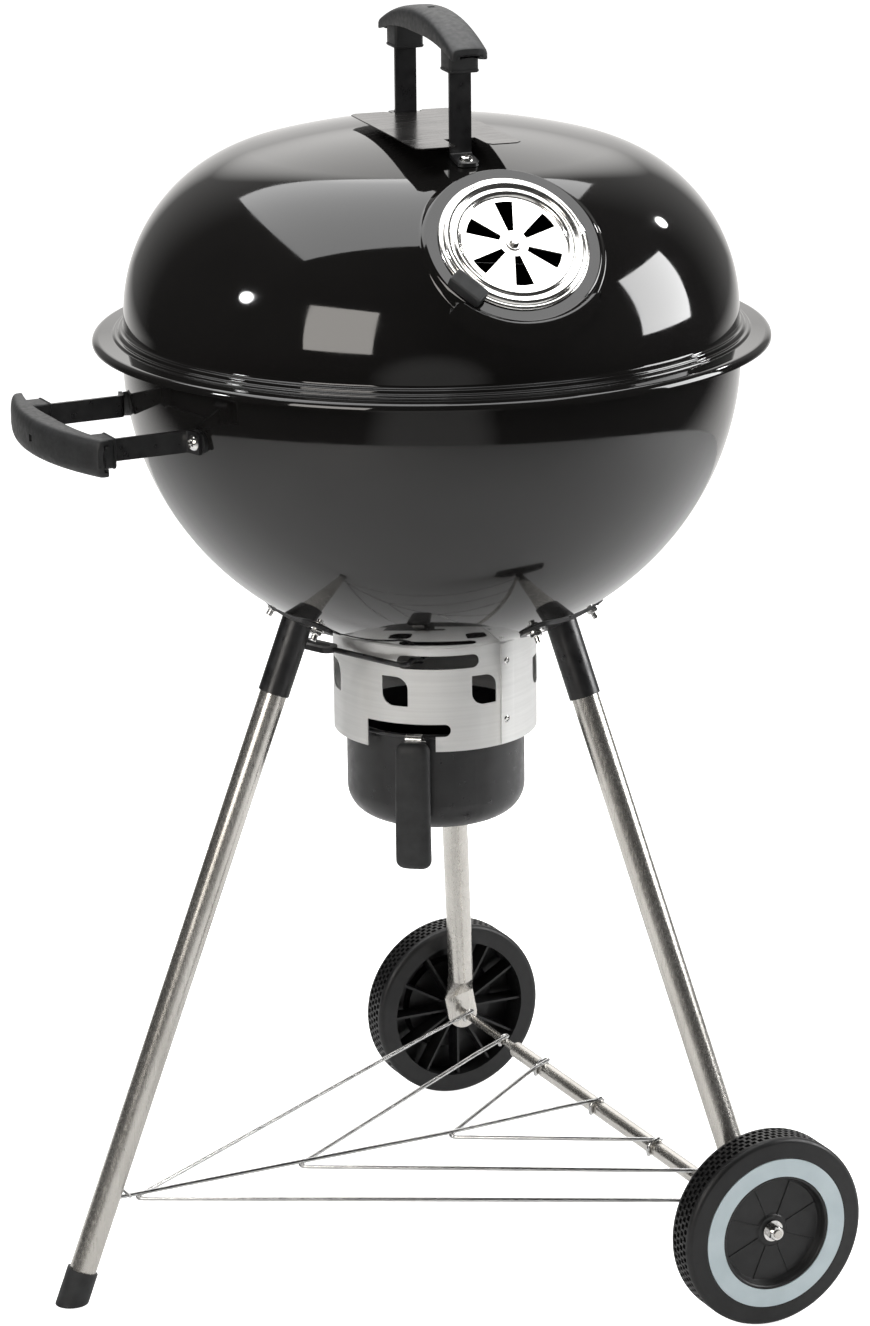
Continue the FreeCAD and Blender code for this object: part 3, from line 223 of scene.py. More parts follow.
MATERIALS = {
    "enamel_black": enamel(),
    "black_steel": black_paint(),
    "chrome_tube": chrome_tube(),
    "chrome_wire": chrome_wire(),
    "zinc_fastener": zinc(),
    "satin_steel": satin_steel(),
    "polished_steel": polished_steel(),
    "shield_steel": shield_steel(),
    "grip_plastic": grip_plastic(),
    "wheel_plastic": wheel_plastic(),
    "ring_plastic": ring_plastic(),
}
NODE_SLOT = {row["node"]: row["material_slot"] for row in frame["record"]["subparts"]}
for node_name, slot_name in NODE_SLOT.items():
    shown = frame["nodes"][node_name]
    shown.data.materials.clear()
    shown.data.materials.append(MATERIALS[slot_name])


# ---- mesh helpers ------------------------------------------------------------------
def kettle(v):
    """Millimetres about the kettle's axis to metres in the row frame."""
    return Vector((v[0] * MM, v[1] * MM + AXIS_Y, v[2] * MM))


def make_piece(name, verts, faces, loop_normals, node, place=kettle, stands_in=True):
    """A mesh piece on a CAD node's body and in its slot. It takes the node's place if stands_in."""
    mesh = bpy.data.meshes.new(name)
    mesh.from_pydata([place(v) for v in verts], [], faces)
    for poly in mesh.polygons:
        poly.use_smooth = True
    mesh.materials.append(MATERIALS[NODE_SLOT[node]])
    if loop_normals is not None:
        mesh.normals_split_custom_set(loop_normals)
    obj = bpy.data.objects.new(name, mesh)
    bpy.context.scene.collection.objects.link(obj)
    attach(obj, frame["nodes"][node]["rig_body"])
    if stands_in:
        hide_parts(node)
    return obj


def sharpen(obj, degrees):
    """Keep the edges that turn by more than this sharp."""
    obj.data.set_sharp_from_angle(angle=math.radians(degrees))
    return obj


def flat_normal(points):
    """Normal of a polygon."""
    n = Vector((0, 0, 0))
    for a, b in zip(points, points[1:] + points[:1]):
        n += a.cross(b)
    return n.normalized() if n.length > 0 else Vector((0, 0, 1))


def thick_sheet(name, verts, normals, faces, thick, node):
    """A sheet with exact normals outside and inside, closed along all of its edges."""
    n = len(verts)
    every = list(verts) + [v - m * thick for v, m in zip(verts, normals)]
    out = [tuple(f) for f in faces]
    loops = [[normals[i] for i in f] for f in faces]
    directed = set()
    for f in faces:
        directed.update(zip(f, f[1:] + f[:1]))
    for f in faces:
        back = tuple(i + n for i in reversed(f))
        out.append(back)
        loops.append([-normals[i - n] for i in back])
    for a, b in sorted(directed):
        if (b, a) not in directed:
            wall = (b, a, a + n, b + n)
            out.append(wall)
            m = flat_normal([every[i] for i in wall])
            loops.append([m] * 4)
    flat = [tuple(m) for face in loops for m in face]
    return make_piece(name, every, out, flat, node)


def through(a, m, b, steps):
    """Points on the arc from a through m to b, without a."""
    ax, ay = a
    bx, by = m
    cx, cy = b
    d = 2 * (ax * (by - cy) + bx * (cy - ay) + cx * (ay - by))
    if abs(d) < 1e-9:
        return [b]
    ux = ((ax * ax + ay * ay) * (by - cy) + (bx * bx + by * by) * (cy - ay)
          + (cx * cx + cy * cy) * (ay - by)) / d
    uy = ((ax * ax + ay * ay) * (cx - bx) + (bx * bx + by * by) * (ax - cx)
          + (cx * cx + cy * cy) * (bx - ax)) / d
    r = math.hypot(ax - ux, ay - uy)
    start = math.atan2(ay - uy, ax - ux)
    half = math.atan2(by - uy, bx - ux) - start
    end = math.atan2(cy - uy, cx - ux) - start
    sweep = end % math.tau
    if half % math.tau > sweep:
        sweep -= math.tau
    angles = [start + sweep * k / steps for k in range(1, steps + 1)]
    return [(ux + r * math.cos(a), uy + r * math.sin(a)) for a in angles]


def outline(points, steps=6, support=0.4):
    """Dense points of an outline; a triple is the middle of an arc. Straights get support points."""
    out = [tuple(points[0])]
    mid = None
    for p in points[1:]:
        if len(p) == 3:
            mid = p[:2]
            continue
        last = out[-1]
        if mid:
            out += through(last, mid, p, steps)
        else:
            span = math.hypot(p[0] - last[0], p[1] - last[1])
            if span > 3 * support:
                for w in (support / span, 1 - support / span):
                    out.append((last[0] + (p[0] - last[0]) * w, last[1] + (p[1] - last[1]) * w))
            out.append(tuple(p))
        mid = None
    return out


def outline_normals(points):
    """Normals to the left of the way through the points."""
    out = []
    last = len(points) - 1
    for i in range(len(points)):
        a = points[max(0, i - 1)]
        b = points[min(last, i + 1)]
        m = Vector((-(b[1] - a[1]), b[0] - a[0]))
        out.append(m.normalized())
    return out


def lathe(points, normals):
    """Rings about the kettle's axis: vertices and their normals."""
    verts = []
    ms = []
    for (r, z), m in zip(points, normals):
        for k in range(AROUND):
            a = math.tau * k / AROUND
            verts.append(Vector((r * math.cos(a), r * math.sin(a), z)))
            ms.append(Vector((m.x * math.cos(a), m.x * math.sin(a), m.y)))
    return verts, ms


# ---- lid ---------------------------------------------------------------------------
LID_R = 281.8               # the lid's widest wall
SHOULDER_R = 156.7
SHOULDER_Z = 909.9
CROWN_R = 640.0
LID_T = 1.5
DAMPER_AZ = math.radians(-8.1)
DAMPER_AT = 239.0
SEAT_DEPTH = 7.0            # of the round seat below the lid's skin
SEAT_R = 76.8               # the seat is flat up to here
SEAT_FOOT = 84.0            # and back on the lid's skin from here
SEAT_RINGS = 14
PATCH_R = 86.0              # the part of the lid that is meshed about the damper's axis
PATCH_GAP = 3.0             # left between the patch and the lid's own rings, and triangulated
NEAR_SIDE = 70.0            # deeper than this under the seat is the lid's far side
RIVET_R = 3.05
WEDGE_IN = 13               # the six openings, in radius and in half their angle
WEDGE_OUT = 43
WEDGE_HALF = 11
CROWN_RINGS = 36
SHOULDER_RINGS = 40
LID_OFF = LID_R - SHOULDER_R
LID_SPAN = CROWN_R - SHOULDER_R
JOIN = math.asin(LID_OFF / LID_SPAN)
CROWN_Z = SHOULDER_Z - LID_SPAN * math.cos(JOIN)


def lid_height(r):
    """Height of the plain lid at this radius: a flat crown that runs into a round shoulder."""
    if r < CROWN_R * math.sin(JOIN):
        return CROWN_Z + math.sqrt(CROWN_R ** 2 - r ** 2)
    return SHOULDER_Z + math.sqrt(max(0.0, SHOULDER_R ** 2 - (r - LID_OFF) ** 2))


def damper_matrix():
    """The damper's own frame: +Z out of the lid, +Y up the lid, origin on the seat."""
    phi = math.asin((DAMPER_AT - LID_OFF) / SHOULDER_R)
    n = Vector((math.sin(phi), 0, math.cos(phi)))
    up = Vector((-math.cos(phi), 0, math.sin(phi)))
    side = up.cross(n)
    p = Vector((DAMPER_AT, 0, lid_height(DAMPER_AT))) - n * SEAT_DEPTH
    local = Matrix((side, up, n)).transposed().to_4x4()
    local.translation = p
    return Matrix.Rotation(DAMPER_AZ, 4, "Z") @ local


DAMPER = damper_matrix()
DAMPER_BACK = DAMPER.inverted()


def lid_over(x, y):
    """Height of the plain lid over the damper's plane."""
    t = 0.0
    for _ in range(30):     # a few steps are enough; the loop ends when the point is on the lid
        p = DAMPER @ Vector((x, y, t))
        error = p.z - lid_height(math.hypot(p.x, p.y))
        t -= error * 0.75
        if abs(error) < 1e-5:
            break
    return t


def seat_height(x, y):
    """Height of the lid's skin with the round seat pressed into it."""
    rho = math.hypot(x, y)
    if rho <= SEAT_R:
        return 0.0
    t = min(1.0, (rho - SEAT_R) / (SEAT_FOOT - SEAT_R))
    blend = t * t * (3 - 2 * t)
    return lid_over(x, y) * blend


def seat_point(x, y):
    """Point and normal on the lid's skin with its seat."""
    h = seat_height(x, y)
    d = 0.05
    hx = (seat_height(x + d, y) - seat_height(x - d, y)) / (2 * d)
    hy = (seat_height(x, y + d) - seat_height(x, y - d)) / (2 * d)
    m = Vector((-hx, -hy, 1)).normalized()
    return DAMPER @ Vector((x, y, h)), (DAMPER.to_3x3() @ m).normalized()


def inside(point, loop):
    """Whether the point lies in the closed loop."""
    hit = False
    x, y = point
    for (ax, ay), (bx, by) in zip(loop, loop[1:] + loop[:1]):
        if (ay > y) != (by > y) and x < (bx - ax) * (y - ay) / (by - ay) + ax:
            hit = not hit
    return hit


def lid_rings():
    """The lid's profile from its top to its lip, with normals."""
    points = []
    normals = []
    for k in range(CROWN_RINGS):
        a = JOIN * (k + 0.15) / CROWN_RINGS
        points.append((CROWN_R * math.sin(a), CROWN_Z + CROWN_R * math.cos(a)))
        normals.append(Vector((math.sin(a), math.cos(a))))
    for k in range(SHOULDER_RINGS + 1):
        a = JOIN + (math.pi / 2 - JOIN) * k / SHOULDER_RINGS
        points.append((LID_OFF + SHOULDER_R * math.sin(a), SHOULDER_Z + SHOULDER_R * math.cos(a)))
        normals.append(Vector((math.sin(a), math.cos(a))))
    flange = outline([
        (281.8, 909.9), (281.8, 901.8), (282.6, 899.8, 0), (284.8, 899.0),
        (286.4, 898.4, 0), (287.0, 896.8), (287.4, 895.7, 0), (288.5, 895.3),
        (290.0, 895.3), (291.2, 894.9, 0), (291.8, 893.8), (292.1, 893.3, 0), (293.0, 893.1),
        (305.4, 892.1), (309.5, 890.2, 0), (311.0, 886.8), (311.0, 885.2),
    ])
    return points + flange[1:], normals + outline_normals(flange)[1:]


def in_wedge(k):
    """Whether the k-th segment round the damper lies in one of its six openings."""
    mid = (k + 0.5 - 90) % 60
    return min(mid, 60 - mid) < WEDGE_HALF


def make_lid():
    points, ring_normals = lid_rings()
    verts, normals = lathe(points, ring_normals)
    local = [DAMPER_BACK @ v for v in verts]
    gone = [p.z > -NEAR_SIDE and math.hypot(p.x, p.y) < PATCH_R + PATCH_GAP for p in local]
    faces = []
    for i in range(len(points) - 1):
        for k in range(AROUND):
            j = (k + 1) % AROUND
            a, b = i * AROUND + k, i * AROUND + j
            c, d = b + AROUND, a + AROUND
            if not (gone[a] or gone[b] or gone[c] or gone[d]):
                faces.append((a, d, c, b))
    top = len(verts)
    verts.append(Vector((0, 0, CROWN_Z + CROWN_R)))
    normals.append(Vector((0, 0, 1)))
    faces += [(top, k, (k + 1) % AROUND) for k in range(AROUND)]

    # the loop of edges that the missing faces leave open round the damper
    directed = {edge for f in faces for edge in zip(f, f[1:] + f[:1])}
    rim = set(range((len(points) - 1) * AROUND, len(points) * AROUND))
    after = {b: a for a, b in directed if (b, a) not in directed and a not in rim}
    first = min(after)
    loop = [first]
    while after[loop[-1]] != first:
        loop.append(after[loop[-1]])

    radii = [RIVET_R, 8.0, WEDGE_IN, 28.0, WEDGE_OUT, 52.0, 62.0, 68.0]
    radii += [SEAT_R + (SEAT_FOOT - SEAT_R) * k / SEAT_RINGS for k in range(SEAT_RINGS + 1)]
    radii.append(PATCH_R)
    base = len(verts)
    for rho in radii:
        for k in range(AROUND):
            a = math.radians(k)
            v, m = seat_point(rho * math.cos(a), rho * math.sin(a))
            verts.append(v)
            normals.append(m)
    for i in range(len(radii) - 1):
        for k in range(AROUND):
            if not (WEDGE_IN <= radii[i] < WEDGE_OUT and in_wedge(k)):
                a = base + i * AROUND + k
                b = base + i * AROUND + (k + 1) % AROUND
                faces.append((a, a + AROUND, b + AROUND, b))

    # triangles between that loop and the patch
    flat_loop = [DAMPER_BACK @ verts[i] for i in loop]
    flat_loop = [Vector((p.x, p.y)) for p in flat_loop]
    edge_ring = [base + (len(radii) - 1) * AROUND + k for k in range(AROUND)]
    flat_ring = [Vector((PATCH_R * math.cos(math.radians(k)), PATCH_R * math.sin(math.radians(k))))
                 for k in range(AROUND)]
    ids = loop + edge_ring
    n = len(loop)
    edges = [(i, (i + 1) % n) for i in range(n)]
    edges += [(n + k, n + (k + 1) % AROUND) for k in range(AROUND)]
    spots, _, triangles, origins = delaunay_2d_cdt(flat_loop + flat_ring, edges, [], 0, 1e-6)[:4]
    border = [(p.x, p.y) for p in flat_loop]
    ring_inner = PATCH_R * math.cos(math.pi / AROUND)
    for tri in triangles:
        if any(not origins[i] for i in tri):
            continue
        centre = sum((spots[i] for i in tri), Vector((0, 0))) / 3
        if centre.length > ring_inner and inside(centre, border):
            faces.append(tuple(ids[origins[i][0]] for i in tri))
    return thick_sheet("lid_enamel", verts, normals, faces, LID_T, "lid_shell")


make_lid()


# ---- bowl --------------------------------------------------------------------------
BOWL_R = 283.5
BOWL_DEPTH = 274.2
BOWL_Z = 870.4
BOWL_T = 2.0
BOWL_RINGS = 56
VENT_FROM = 26.0            # the three bottom openings, in radius and in half their angle
VENT_TO = 76.0
VENT_ANGLE = 17


def make_bowl():
    radii = [5.1, 15.0, VENT_FROM, 40.0, 52.0, 64.0, VENT_TO]
    points = []
    for r in radii:
        points.append((r, BOWL_Z - BOWL_DEPTH * math.sqrt(1 - (r / BOWL_R) ** 2)))
    t0 = math.asin(radii[-1] / BOWL_R)
    for k in range(1, BOWL_RINGS + 1):
        t = t0 + (math.pi / 2 - t0) * k / BOWL_RINGS
        points.append((BOWL_R * math.sin(t), BOWL_Z - BOWL_DEPTH * math.cos(t)))
    normals = []
    for r, z in points:
        m = Vector((r / BOWL_R ** 2, (z - BOWL_Z) / BOWL_DEPTH ** 2))
        normals.append(m.normalized())
    bead = outline([(283.5, 870.4), (283.5, 886.6), (289.3, 888.6, 0), (289.4, 890.2), (285.5, 894.0, 0),
                    (281.5, 890.0)], steps=10)
    points += bead[1:]
    normals += [-m for m in outline_normals(bead)[1:]]
    verts, vertex_normals = lathe(points, normals)
    faces = []
    for i in range(len(points) - 1):
        for k in range(AROUND):
            mid = (k + 0.5 - 90) % 120
            vent = i < len(radii) - 1 and radii[i] >= VENT_FROM
            if not (vent and min(mid, 120 - mid) < VENT_ANGLE):
                a, b = i * AROUND + k, i * AROUND + (k + 1) % AROUND
                faces.append((a, b, b + AROUND, a + AROUND))
    return thick_sheet("bowl_enamel", verts, vertex_normals, faces, BOWL_T, "bowl_shell")


make_bowl()


# ---- lid damper --------------------------------------------------------------------
DISC_LIFT = 0.35            # running gap under the disc
DISC_T = 1.1


def make_disc():
    """Pressed steel disc: rolled rim, raised beads and six openings."""
    t = 1.2
    shape = outline([
        (3.2, t), (12.9, t), (13.0, t), (42.9, t), (43.0, t), (46.6, t), (47.6, t + 0.2, 0),
        (48.2, t + 0.9), (49.6, t + 2.6, 0), (51.6, t + 3.2), (53.2, t + 3.0, 0), (54.2, t + 2.2),
        (55.0, t + 1.7, 0), (56.0, t + 1.9), (58.0, t + 3.4, 0), (60.0, t + 3.9), (62.0, t + 3.4, 0),
        (63.2, t + 1.6), (63.7, t + 1.15, 0), (64.6, t + 1.1), (66.2, t + 0.9, 0), (67.4, t - 0.6),
    ], steps=4, support=0.25)
    verts = []
    normals = []
    spin = DAMPER.to_3x3()
    for (r, z), m in zip(shape, outline_normals(shape)):
        for k in range(AROUND):
            a = math.radians(k)
            verts.append(DAMPER @ Vector((r * math.cos(a), r * math.sin(a), z + DISC_LIFT)))
            normals.append(spin @ Vector((m.x * math.cos(a), m.x * math.sin(a), m.y)))
    faces = []
    for i in range(len(shape) - 1):
        inner = WEDGE_IN - 0.01 <= shape[i][0] and shape[i + 1][0] <= WEDGE_OUT + 0.001
        for k in range(AROUND):
            if not (inner and in_wedge(k)):
                a, b = i * AROUND + k, i * AROUND + (k + 1) % AROUND
                faces.append((a, a + AROUND, b + AROUND, b))
    return thick_sheet("damper_disc_steel", verts, normals, faces, DISC_T, "lid_damper_disc")


make_disc()


# ---- lap seam of the ash catcher's band --------------------------------------------
BAND_R = 95.35
LAP_T = 0.9
LAP_SUNK = 0.5              # how far the lap reaches into the band's wall
LAP_LOW = 514.2
LAP_TOP = 610.4
LAP_FROM = 13.4             # degrees round the band
LAP_TO = 24.0
LAP_STEPS = 12


def make_lap():
    """The band's overlapping end: proud at its free edge, and flush where the wall takes over."""
    verts = []
    faces = []
    low = BAND_R - LAP_SUNK
    for k in range(LAP_STEPS + 1):
        a = math.radians(LAP_FROM + (LAP_TO - LAP_FROM) * k / LAP_STEPS)
        out = BAND_R + LAP_T * (1 - k / LAP_STEPS) ** 0.6 + 0.02
        for r, z in ((low, LAP_LOW), (out, LAP_LOW), (out, LAP_TOP), (low, LAP_TOP)):
            verts.append(Vector((r * math.cos(a), r * math.sin(a), z)))
    for k in range(LAP_STEPS):
        b = 4 * k
        for i in range(4):
            j = (i + 1) % 4
            faces.append((b + i, b + 4 + i, b + 4 + j, b + j))
    faces += [(0, 1, 2, 3), tuple(4 * LAP_STEPS + i for i in (3, 2, 1, 0))]
    lap = make_piece("band_lap_seam", verts, faces, None, "ash_band", stands_in=False)
    return sharpen(lap, 30)


make_lap()


# ---- grips -------------------------------------------------------------------------
GRIP_HALF = 104.0
GRIP_Y = 17.0
GRIP_TOP = 46.0
GRIP_DROP = 22.0            # from the middle of the grip's top to its ends
GRIP_THICK = 21.5
GRIP_TAPER = 10.5           # thickness lost between the middle and the ends
GRIP_CROWN = 7.0
GRIP_STEP = 4.9
STRAP_AT = 76.0
CROWN_AT = [10 * k for k in range(9)] + [85.7, 90, 94.3] + [100 + 10 * k for k in range(9)]
SLOT_HALF = 3.0
SLOT_DEEP = 3.5
SOCKET_TUCK = 8.0           # how far below the grip's top its sockets end, inside it


def grip_top(x):
    """Height of the grip's arched top."""
    r = (GRIP_HALF ** 2 + GRIP_DROP ** 2) / (2 * GRIP_DROP)
    return GRIP_TOP - r + math.sqrt(r * r - x * x)


def grip_loop(x, shrink):
    """Section across the grip: crowned top, flat sides and a hollow underside."""
    top = grip_top(x)
    low = top - GRIP_THICK + GRIP_TAPER * (abs(x) / GRIP_HALF) ** 1.5
    crown = GRIP_CROWN
    pts = [(GRIP_Y - 0.6, low), (GRIP_Y, low + 0.8), (GRIP_Y, top - crown - 0.6)]
    for degrees in CROWN_AT:
        c, s = math.cos(math.radians(degrees)), math.sin(math.radians(degrees))
        across = GRIP_Y * math.copysign(abs(c) ** 0.62, c)
        pts.append((across, top - crown + crown * abs(s) ** 0.80))
    pts += [(-GRIP_Y, top - crown - 0.6), (-GRIP_Y, low + 0.8), (-GRIP_Y + 0.6, low)]
    pts += [(-GRIP_Y + 2.6, low), (-GRIP_Y + 3.0, low + 0.4), (-GRIP_Y + 3.4, low + 4.5),
            (GRIP_Y - 3.4, low + 4.5), (GRIP_Y - 3.0, low + 0.4), (GRIP_Y - 2.6, low)]
    mid = (top + low) / 2
    return [(x, y * shrink, mid + (z - mid) * shrink) for y, z in pts]


def add_loft(verts, faces, loops, cap_first=True, cap_last=True):
    """Faces between loops of equal length, with caps."""
    base = len(verts)
    n = len(loops[0])
    for loop in loops:
        verts.extend(Vector(p) for p in loop)
    for i in range(len(loops) - 1):
        for k in range(n):
            a, b = base + i * n + k, base + i * n + (k + 1) % n
            faces.append((a, b, b + n, a + n))
    last = base + (len(loops) - 1) * n
    if cap_first:
        faces.append(tuple(base + k for k in reversed(range(n))))
    if cap_last:
        faces.append(tuple(last + k for k in range(n)))


def sink(verts, faces, chosen, drop):
    """Press a patch of faces down into a pocket with upright walls."""
    edges = [(q[i], q[(i + 1) % len(q)]) for q in (faces[f] for f in chosen) for i in range(len(q))]
    rim = dict(e for e in edges if (e[1], e[0]) not in edges)
    loop = [next(iter(rim))]
    while rim[loop[-1]] != loop[0]:
        loop.append(rim[loop[-1]])
    base = len(verts)
    verts += [verts[i] + drop for i in loop]
    for k in range(len(loop)):
        j = (k + 1) % len(loop)
        faces.append((loop[k], loop[j], base + j, base + k))
    faces.append(tuple(range(base, base + len(loop))))
    for f in sorted(chosen, reverse=True):
        del faces[f]


def rounded_box_loops(x0, x1, y0, y1, z0, z1, r):
    """Upright block with round vertical corners and eased ends, as loops for add_loft."""
    loops = []
    for z, inset in ((z0, r * 0.35), (z0 + r * 0.12, r * 0.12), (z0 + r * 0.4, 0.0), (z1, 0.0)):
        loop = []
        for cx, cy, start in ((x1 - r, y1 - r, 0), (x0 + r, y1 - r, 90), (x0 + r, y0 + r, 180),
                              (x1 - r, y0 + r, 270)):
            for k in range(6):
                a = math.radians(start + 18 * k)
                loop.append((cx + (r - inset) * math.cos(a), cy + (r - inset) * math.sin(a), z))
        loops.append(loop)
    return loops


def make_grip(name, node, place):
    verts = []
    faces = []
    half = [GRIP_HALF - inset for inset in (0, 0.5, 1.6, 3.4)]
    half += [20 * GRIP_STEP - GRIP_STEP * k for k in range(20)] + [SLOT_HALF]
    stations = [-x for x in half] + list(reversed(half))
    shrink = {0: 0.90, 1: 0.955, 2: 0.985}
    last = len(stations) - 1
    loops = [grip_loop(x, shrink.get(min(i, last - i), 1.0)) for i, x in enumerate(stations)]
    add_loft(verts, faces, [list(reversed(loop)) for loop in loops], False, False)
    n = len(loops[0])
    crown_mid = n - 1 - (3 + CROWN_AT.index(90))
    slot = stations.index(-SLOT_HALF) * n + crown_mid
    sink(verts, faces, [slot - 1, slot], Vector((0, 0, -SLOT_DEEP)))
    # an arched recess in each end
    for end, way in ((0, 1), (last, -1)):
        x = stations[end]
        ring = [end * n + k for k in range(n)]
        top = grip_top(x)
        arch = []
        for p in [verts[i] for i in ring]:
            y = max(-12.0, min(12.0, p.y * 0.74))
            roof = top - 5.4 - 4.6 * (1 - math.sqrt(max(0.0, 1 - (y / 12.6) ** 2)))
            floor = top - 10.2
            z = roof if p.z > top - 6.5 else floor
            arch.append(Vector((x, y, z)))
        deep = [Vector((x + way * 5.5, p.y * 0.96, p.z - 0.2)) for p in arch]
        base = len(verts)
        verts += arch + deep
        for k in range(n):
            j = (k + 1) % n
            quads = ((ring[k], ring[j], base + j, base + k),
                     (base + k, base + j, base + n + j, base + n + k))
            for q in quads:
                faces.append(q if way < 0 else tuple(reversed(q)))
        cap = [base + n + k for k in range(n)]
        faces.append(tuple(cap) if way < 0 else tuple(reversed(cap)))
    # the two sockets that take the straps, then a raised lip round the mouth of each
    for x in (-STRAP_AT, STRAP_AT):
        top = grip_top(x) - SOCKET_TUCK
        add_loft(verts, faces, rounded_box_loops(x - 13, x + 13, -13.5, 13.5, 0.0, top, 2.6))
    for x in (-STRAP_AT, STRAP_AT):
        add_loft(verts, faces, rounded_box_loops(x - 13.6, x + 13.6, -14.1, 14.1, 0.4, 2.6, 2.8))
    obj = make_piece(name, verts, faces, None, node, place)
    return sharpen(obj, 40)


LID_GRIP_AZ = math.radians(-7.4)
LID_GRIP_AT = Vector((47.0, -13.0, 1147.0))
BOWL_GRIP_Y = -350.0
BOWL_GRIP_Z = 833.0


def lid_grip_place(v):
    return kettle(Matrix.Rotation(LID_GRIP_AZ, 3, "Z") @ (Vector(v) + LID_GRIP_AT))


def bowl_grip_place(v):
    return kettle((v[0], BOWL_GRIP_Y - v[2], v[1] + BOWL_GRIP_Z))


make_grip("lid_grip_moulding", "lid_handle_grip", lid_grip_place)
make_grip("bowl_grip_moulding", "bowl_handle_grip", bowl_grip_place)


# ---- ash pot handle ----------------------------------------------------------------
POT_GRIP_AZ = math.radians(-37.0)
POT_GRIP_LOW = 405.0
POT_GRIP_TOP = 527.0
POT_GRIP_STEPS = 28


def make_pot_handle():
    """A slightly bowed bar of rounded section that closes in at both ends."""
    loops = []
    low, top = POT_GRIP_LOW, POT_GRIP_TOP
    for k in range(POT_GRIP_STEPS + 1):
        u = k / POT_GRIP_STEPS
        z = low + (top - low) * (0.5 - 0.5 * math.cos(math.pi * u))
        from_end = min(z - low, top - z)
        edge = 9.0 if z > (low + top) / 2 else 8.0
        squeeze = math.sqrt(max(0.0, 1 - max(0.0, 1 - from_end / edge) ** 2))
        width = 16.2 * (0.45 + 0.55 * squeeze) * (1 + 0.03 * math.cos(math.pi * u))
        depth = 7.2 * (0.30 + 0.70 * squeeze)
        centre = 109.6 + 2.6 * math.sin(math.pi * u)
        loop = []
        for j in range(32):
            t = math.tau * j / 32
            c, s = math.cos(t), math.sin(t)
            loop.append((centre + depth * math.copysign(abs(c) ** 0.7, c),
                         width * math.copysign(abs(s) ** 0.55, s), z))
        loops.append(loop)
    verts = []
    faces = []
    add_loft(verts, faces, loops)
    spin = Matrix.Rotation(POT_GRIP_AZ, 3, "Z")
    verts = [spin @ v for v in verts]
    return sharpen(make_piece("pot_handle_moulding", verts, faces, None, "ash_pot_handle"), 50)


make_pot_handle()


# ---- wheels ------------------------------------------------------------------------
WHEEL_R = 91.1
WHEEL_IN = 309.0            # from the middle of the grill to the wheel's inner face
HUB_Y = 302.5 * math.tan(math.radians(30))
PITCHES = 84                # tread blocks round the wheel
TREAD_ROWS = ((6.2, 10.8), (12.0, 16.6), (17.8, 22.4), (23.6, 28.2))
PIT = 1.9
PIT_WALL = 0.18


def make_wheel(name, node, mirror):
    """Tyre with pitted tread rows, groove for the light ring, dished web, hub, ribs and spokes."""
    around = (0.0, 0.04, 0.12, 0.16, 0.50, 0.54, 0.62, 0.66)
    angles = [math.tau * (k + a) / PITCHES for k in range(PITCHES) for a in around]
    n = len(angles)
    back = outline([(72.0, 0.0), (85.5, 0.0), (89.6, 1.4, 0), (WHEEL_R, 5.0)], 5)
    rings = [(r, x, None) for r, x in back]
    for row, (x0, x1) in enumerate(TREAD_ROWS):
        rings += [(WHEEL_R, x0, None), (WHEEL_R, x0 + PIT_WALL, row)]
        rings += [(WHEEL_R, x1 - PIT_WALL, row), (WHEEL_R, x1, None)]
    side = outline([
        (WHEEL_R, 29.4), (90.2, 32.4, 0), (87.2, 34.6), (73.4, 35.9), (72.6, 35.8, 0), (72.15, 35.2),
        (72.15, 34.0), (54.85, 34.0), (54.85, 35.0), (54.5, 35.6, 0), (53.8, 35.8), (52.6, 35.4, 0),
        (51.8, 34.4), (49.4, 28.2), (48.6, 27.2, 0), (47.2, 26.9), (17.0, 26.9), (15.6, 27.3, 0),
        (14.6, 28.2), (14.0, 28.5), (4.05, 28.5), (4.05, 1.0), (12.4, 1.0), (13.0, 1.6),
        (13.0, 23.5), (47.0, 23.5), (50.0, 30.5), (72.0, 30.5), (72.0, 0.0),
    ], 5, 0.3)
    rings += [(r, x, None) for r, x in side[:-1]]
    half = len(around) // 2
    verts = []
    for r, x, row in rings:
        for k, a in enumerate(angles):
            place = k % len(around)
            if row is not None and row % 2:
                place = (place + half) % len(around)
            deep = PIT if row is not None and 1 <= place <= 6 else 0.0
            verts.append(Vector((x, (r - deep) * math.cos(a), (r - deep) * math.sin(a))))
    faces = []
    count = len(rings)
    for i in range(count):
        j = (i + 1) % count
        for k in range(n):
            m = (k + 1) % n
            faces.append((i * n + k, j * n + k, j * n + m, i * n + m))
    # ribs behind the web and lines on its face: x and r spans, half width, number, first angle
    bars = [(4.0, 24.5, 11.0, 75.0, 1.2, 12, 0.0), (26.5, 27.7, 13.0, 48.5, 0.55, 8, 22.5)]
    for x0, x1, r0, r1, half_w, number, phase in bars:
        for k in range(number):
            spin = Matrix.Rotation(math.radians(phase + 360 / number * k), 3, "X")
            base = len(verts)
            for x in (x0, x1):
                for y, z in ((-half_w, r0), (half_w, r0), (half_w, r1), (-half_w, r1)):
                    verts.append(spin @ Vector((x, y, z)))
            sides = ((0, 1, 2, 3), (7, 6, 5, 4), (0, 4, 5, 1), (1, 5, 6, 2), (2, 6, 7, 3), (3, 7, 4, 0))
            faces += [tuple(base + i for i in q) for q in sides]
    sign = -1 if mirror else 1

    def place_wheel(v):
        return kettle((sign * (WHEEL_IN + v[0]), HUB_Y + sign * v[1], WHEEL_R + v[2]))

    return sharpen(make_piece(name, verts, faces, None, node, place_wheel), 38)


make_wheel("wheel_right_moulding", "wheel_right", False)
make_wheel("wheel_left_moulding", "wheel_left", True)


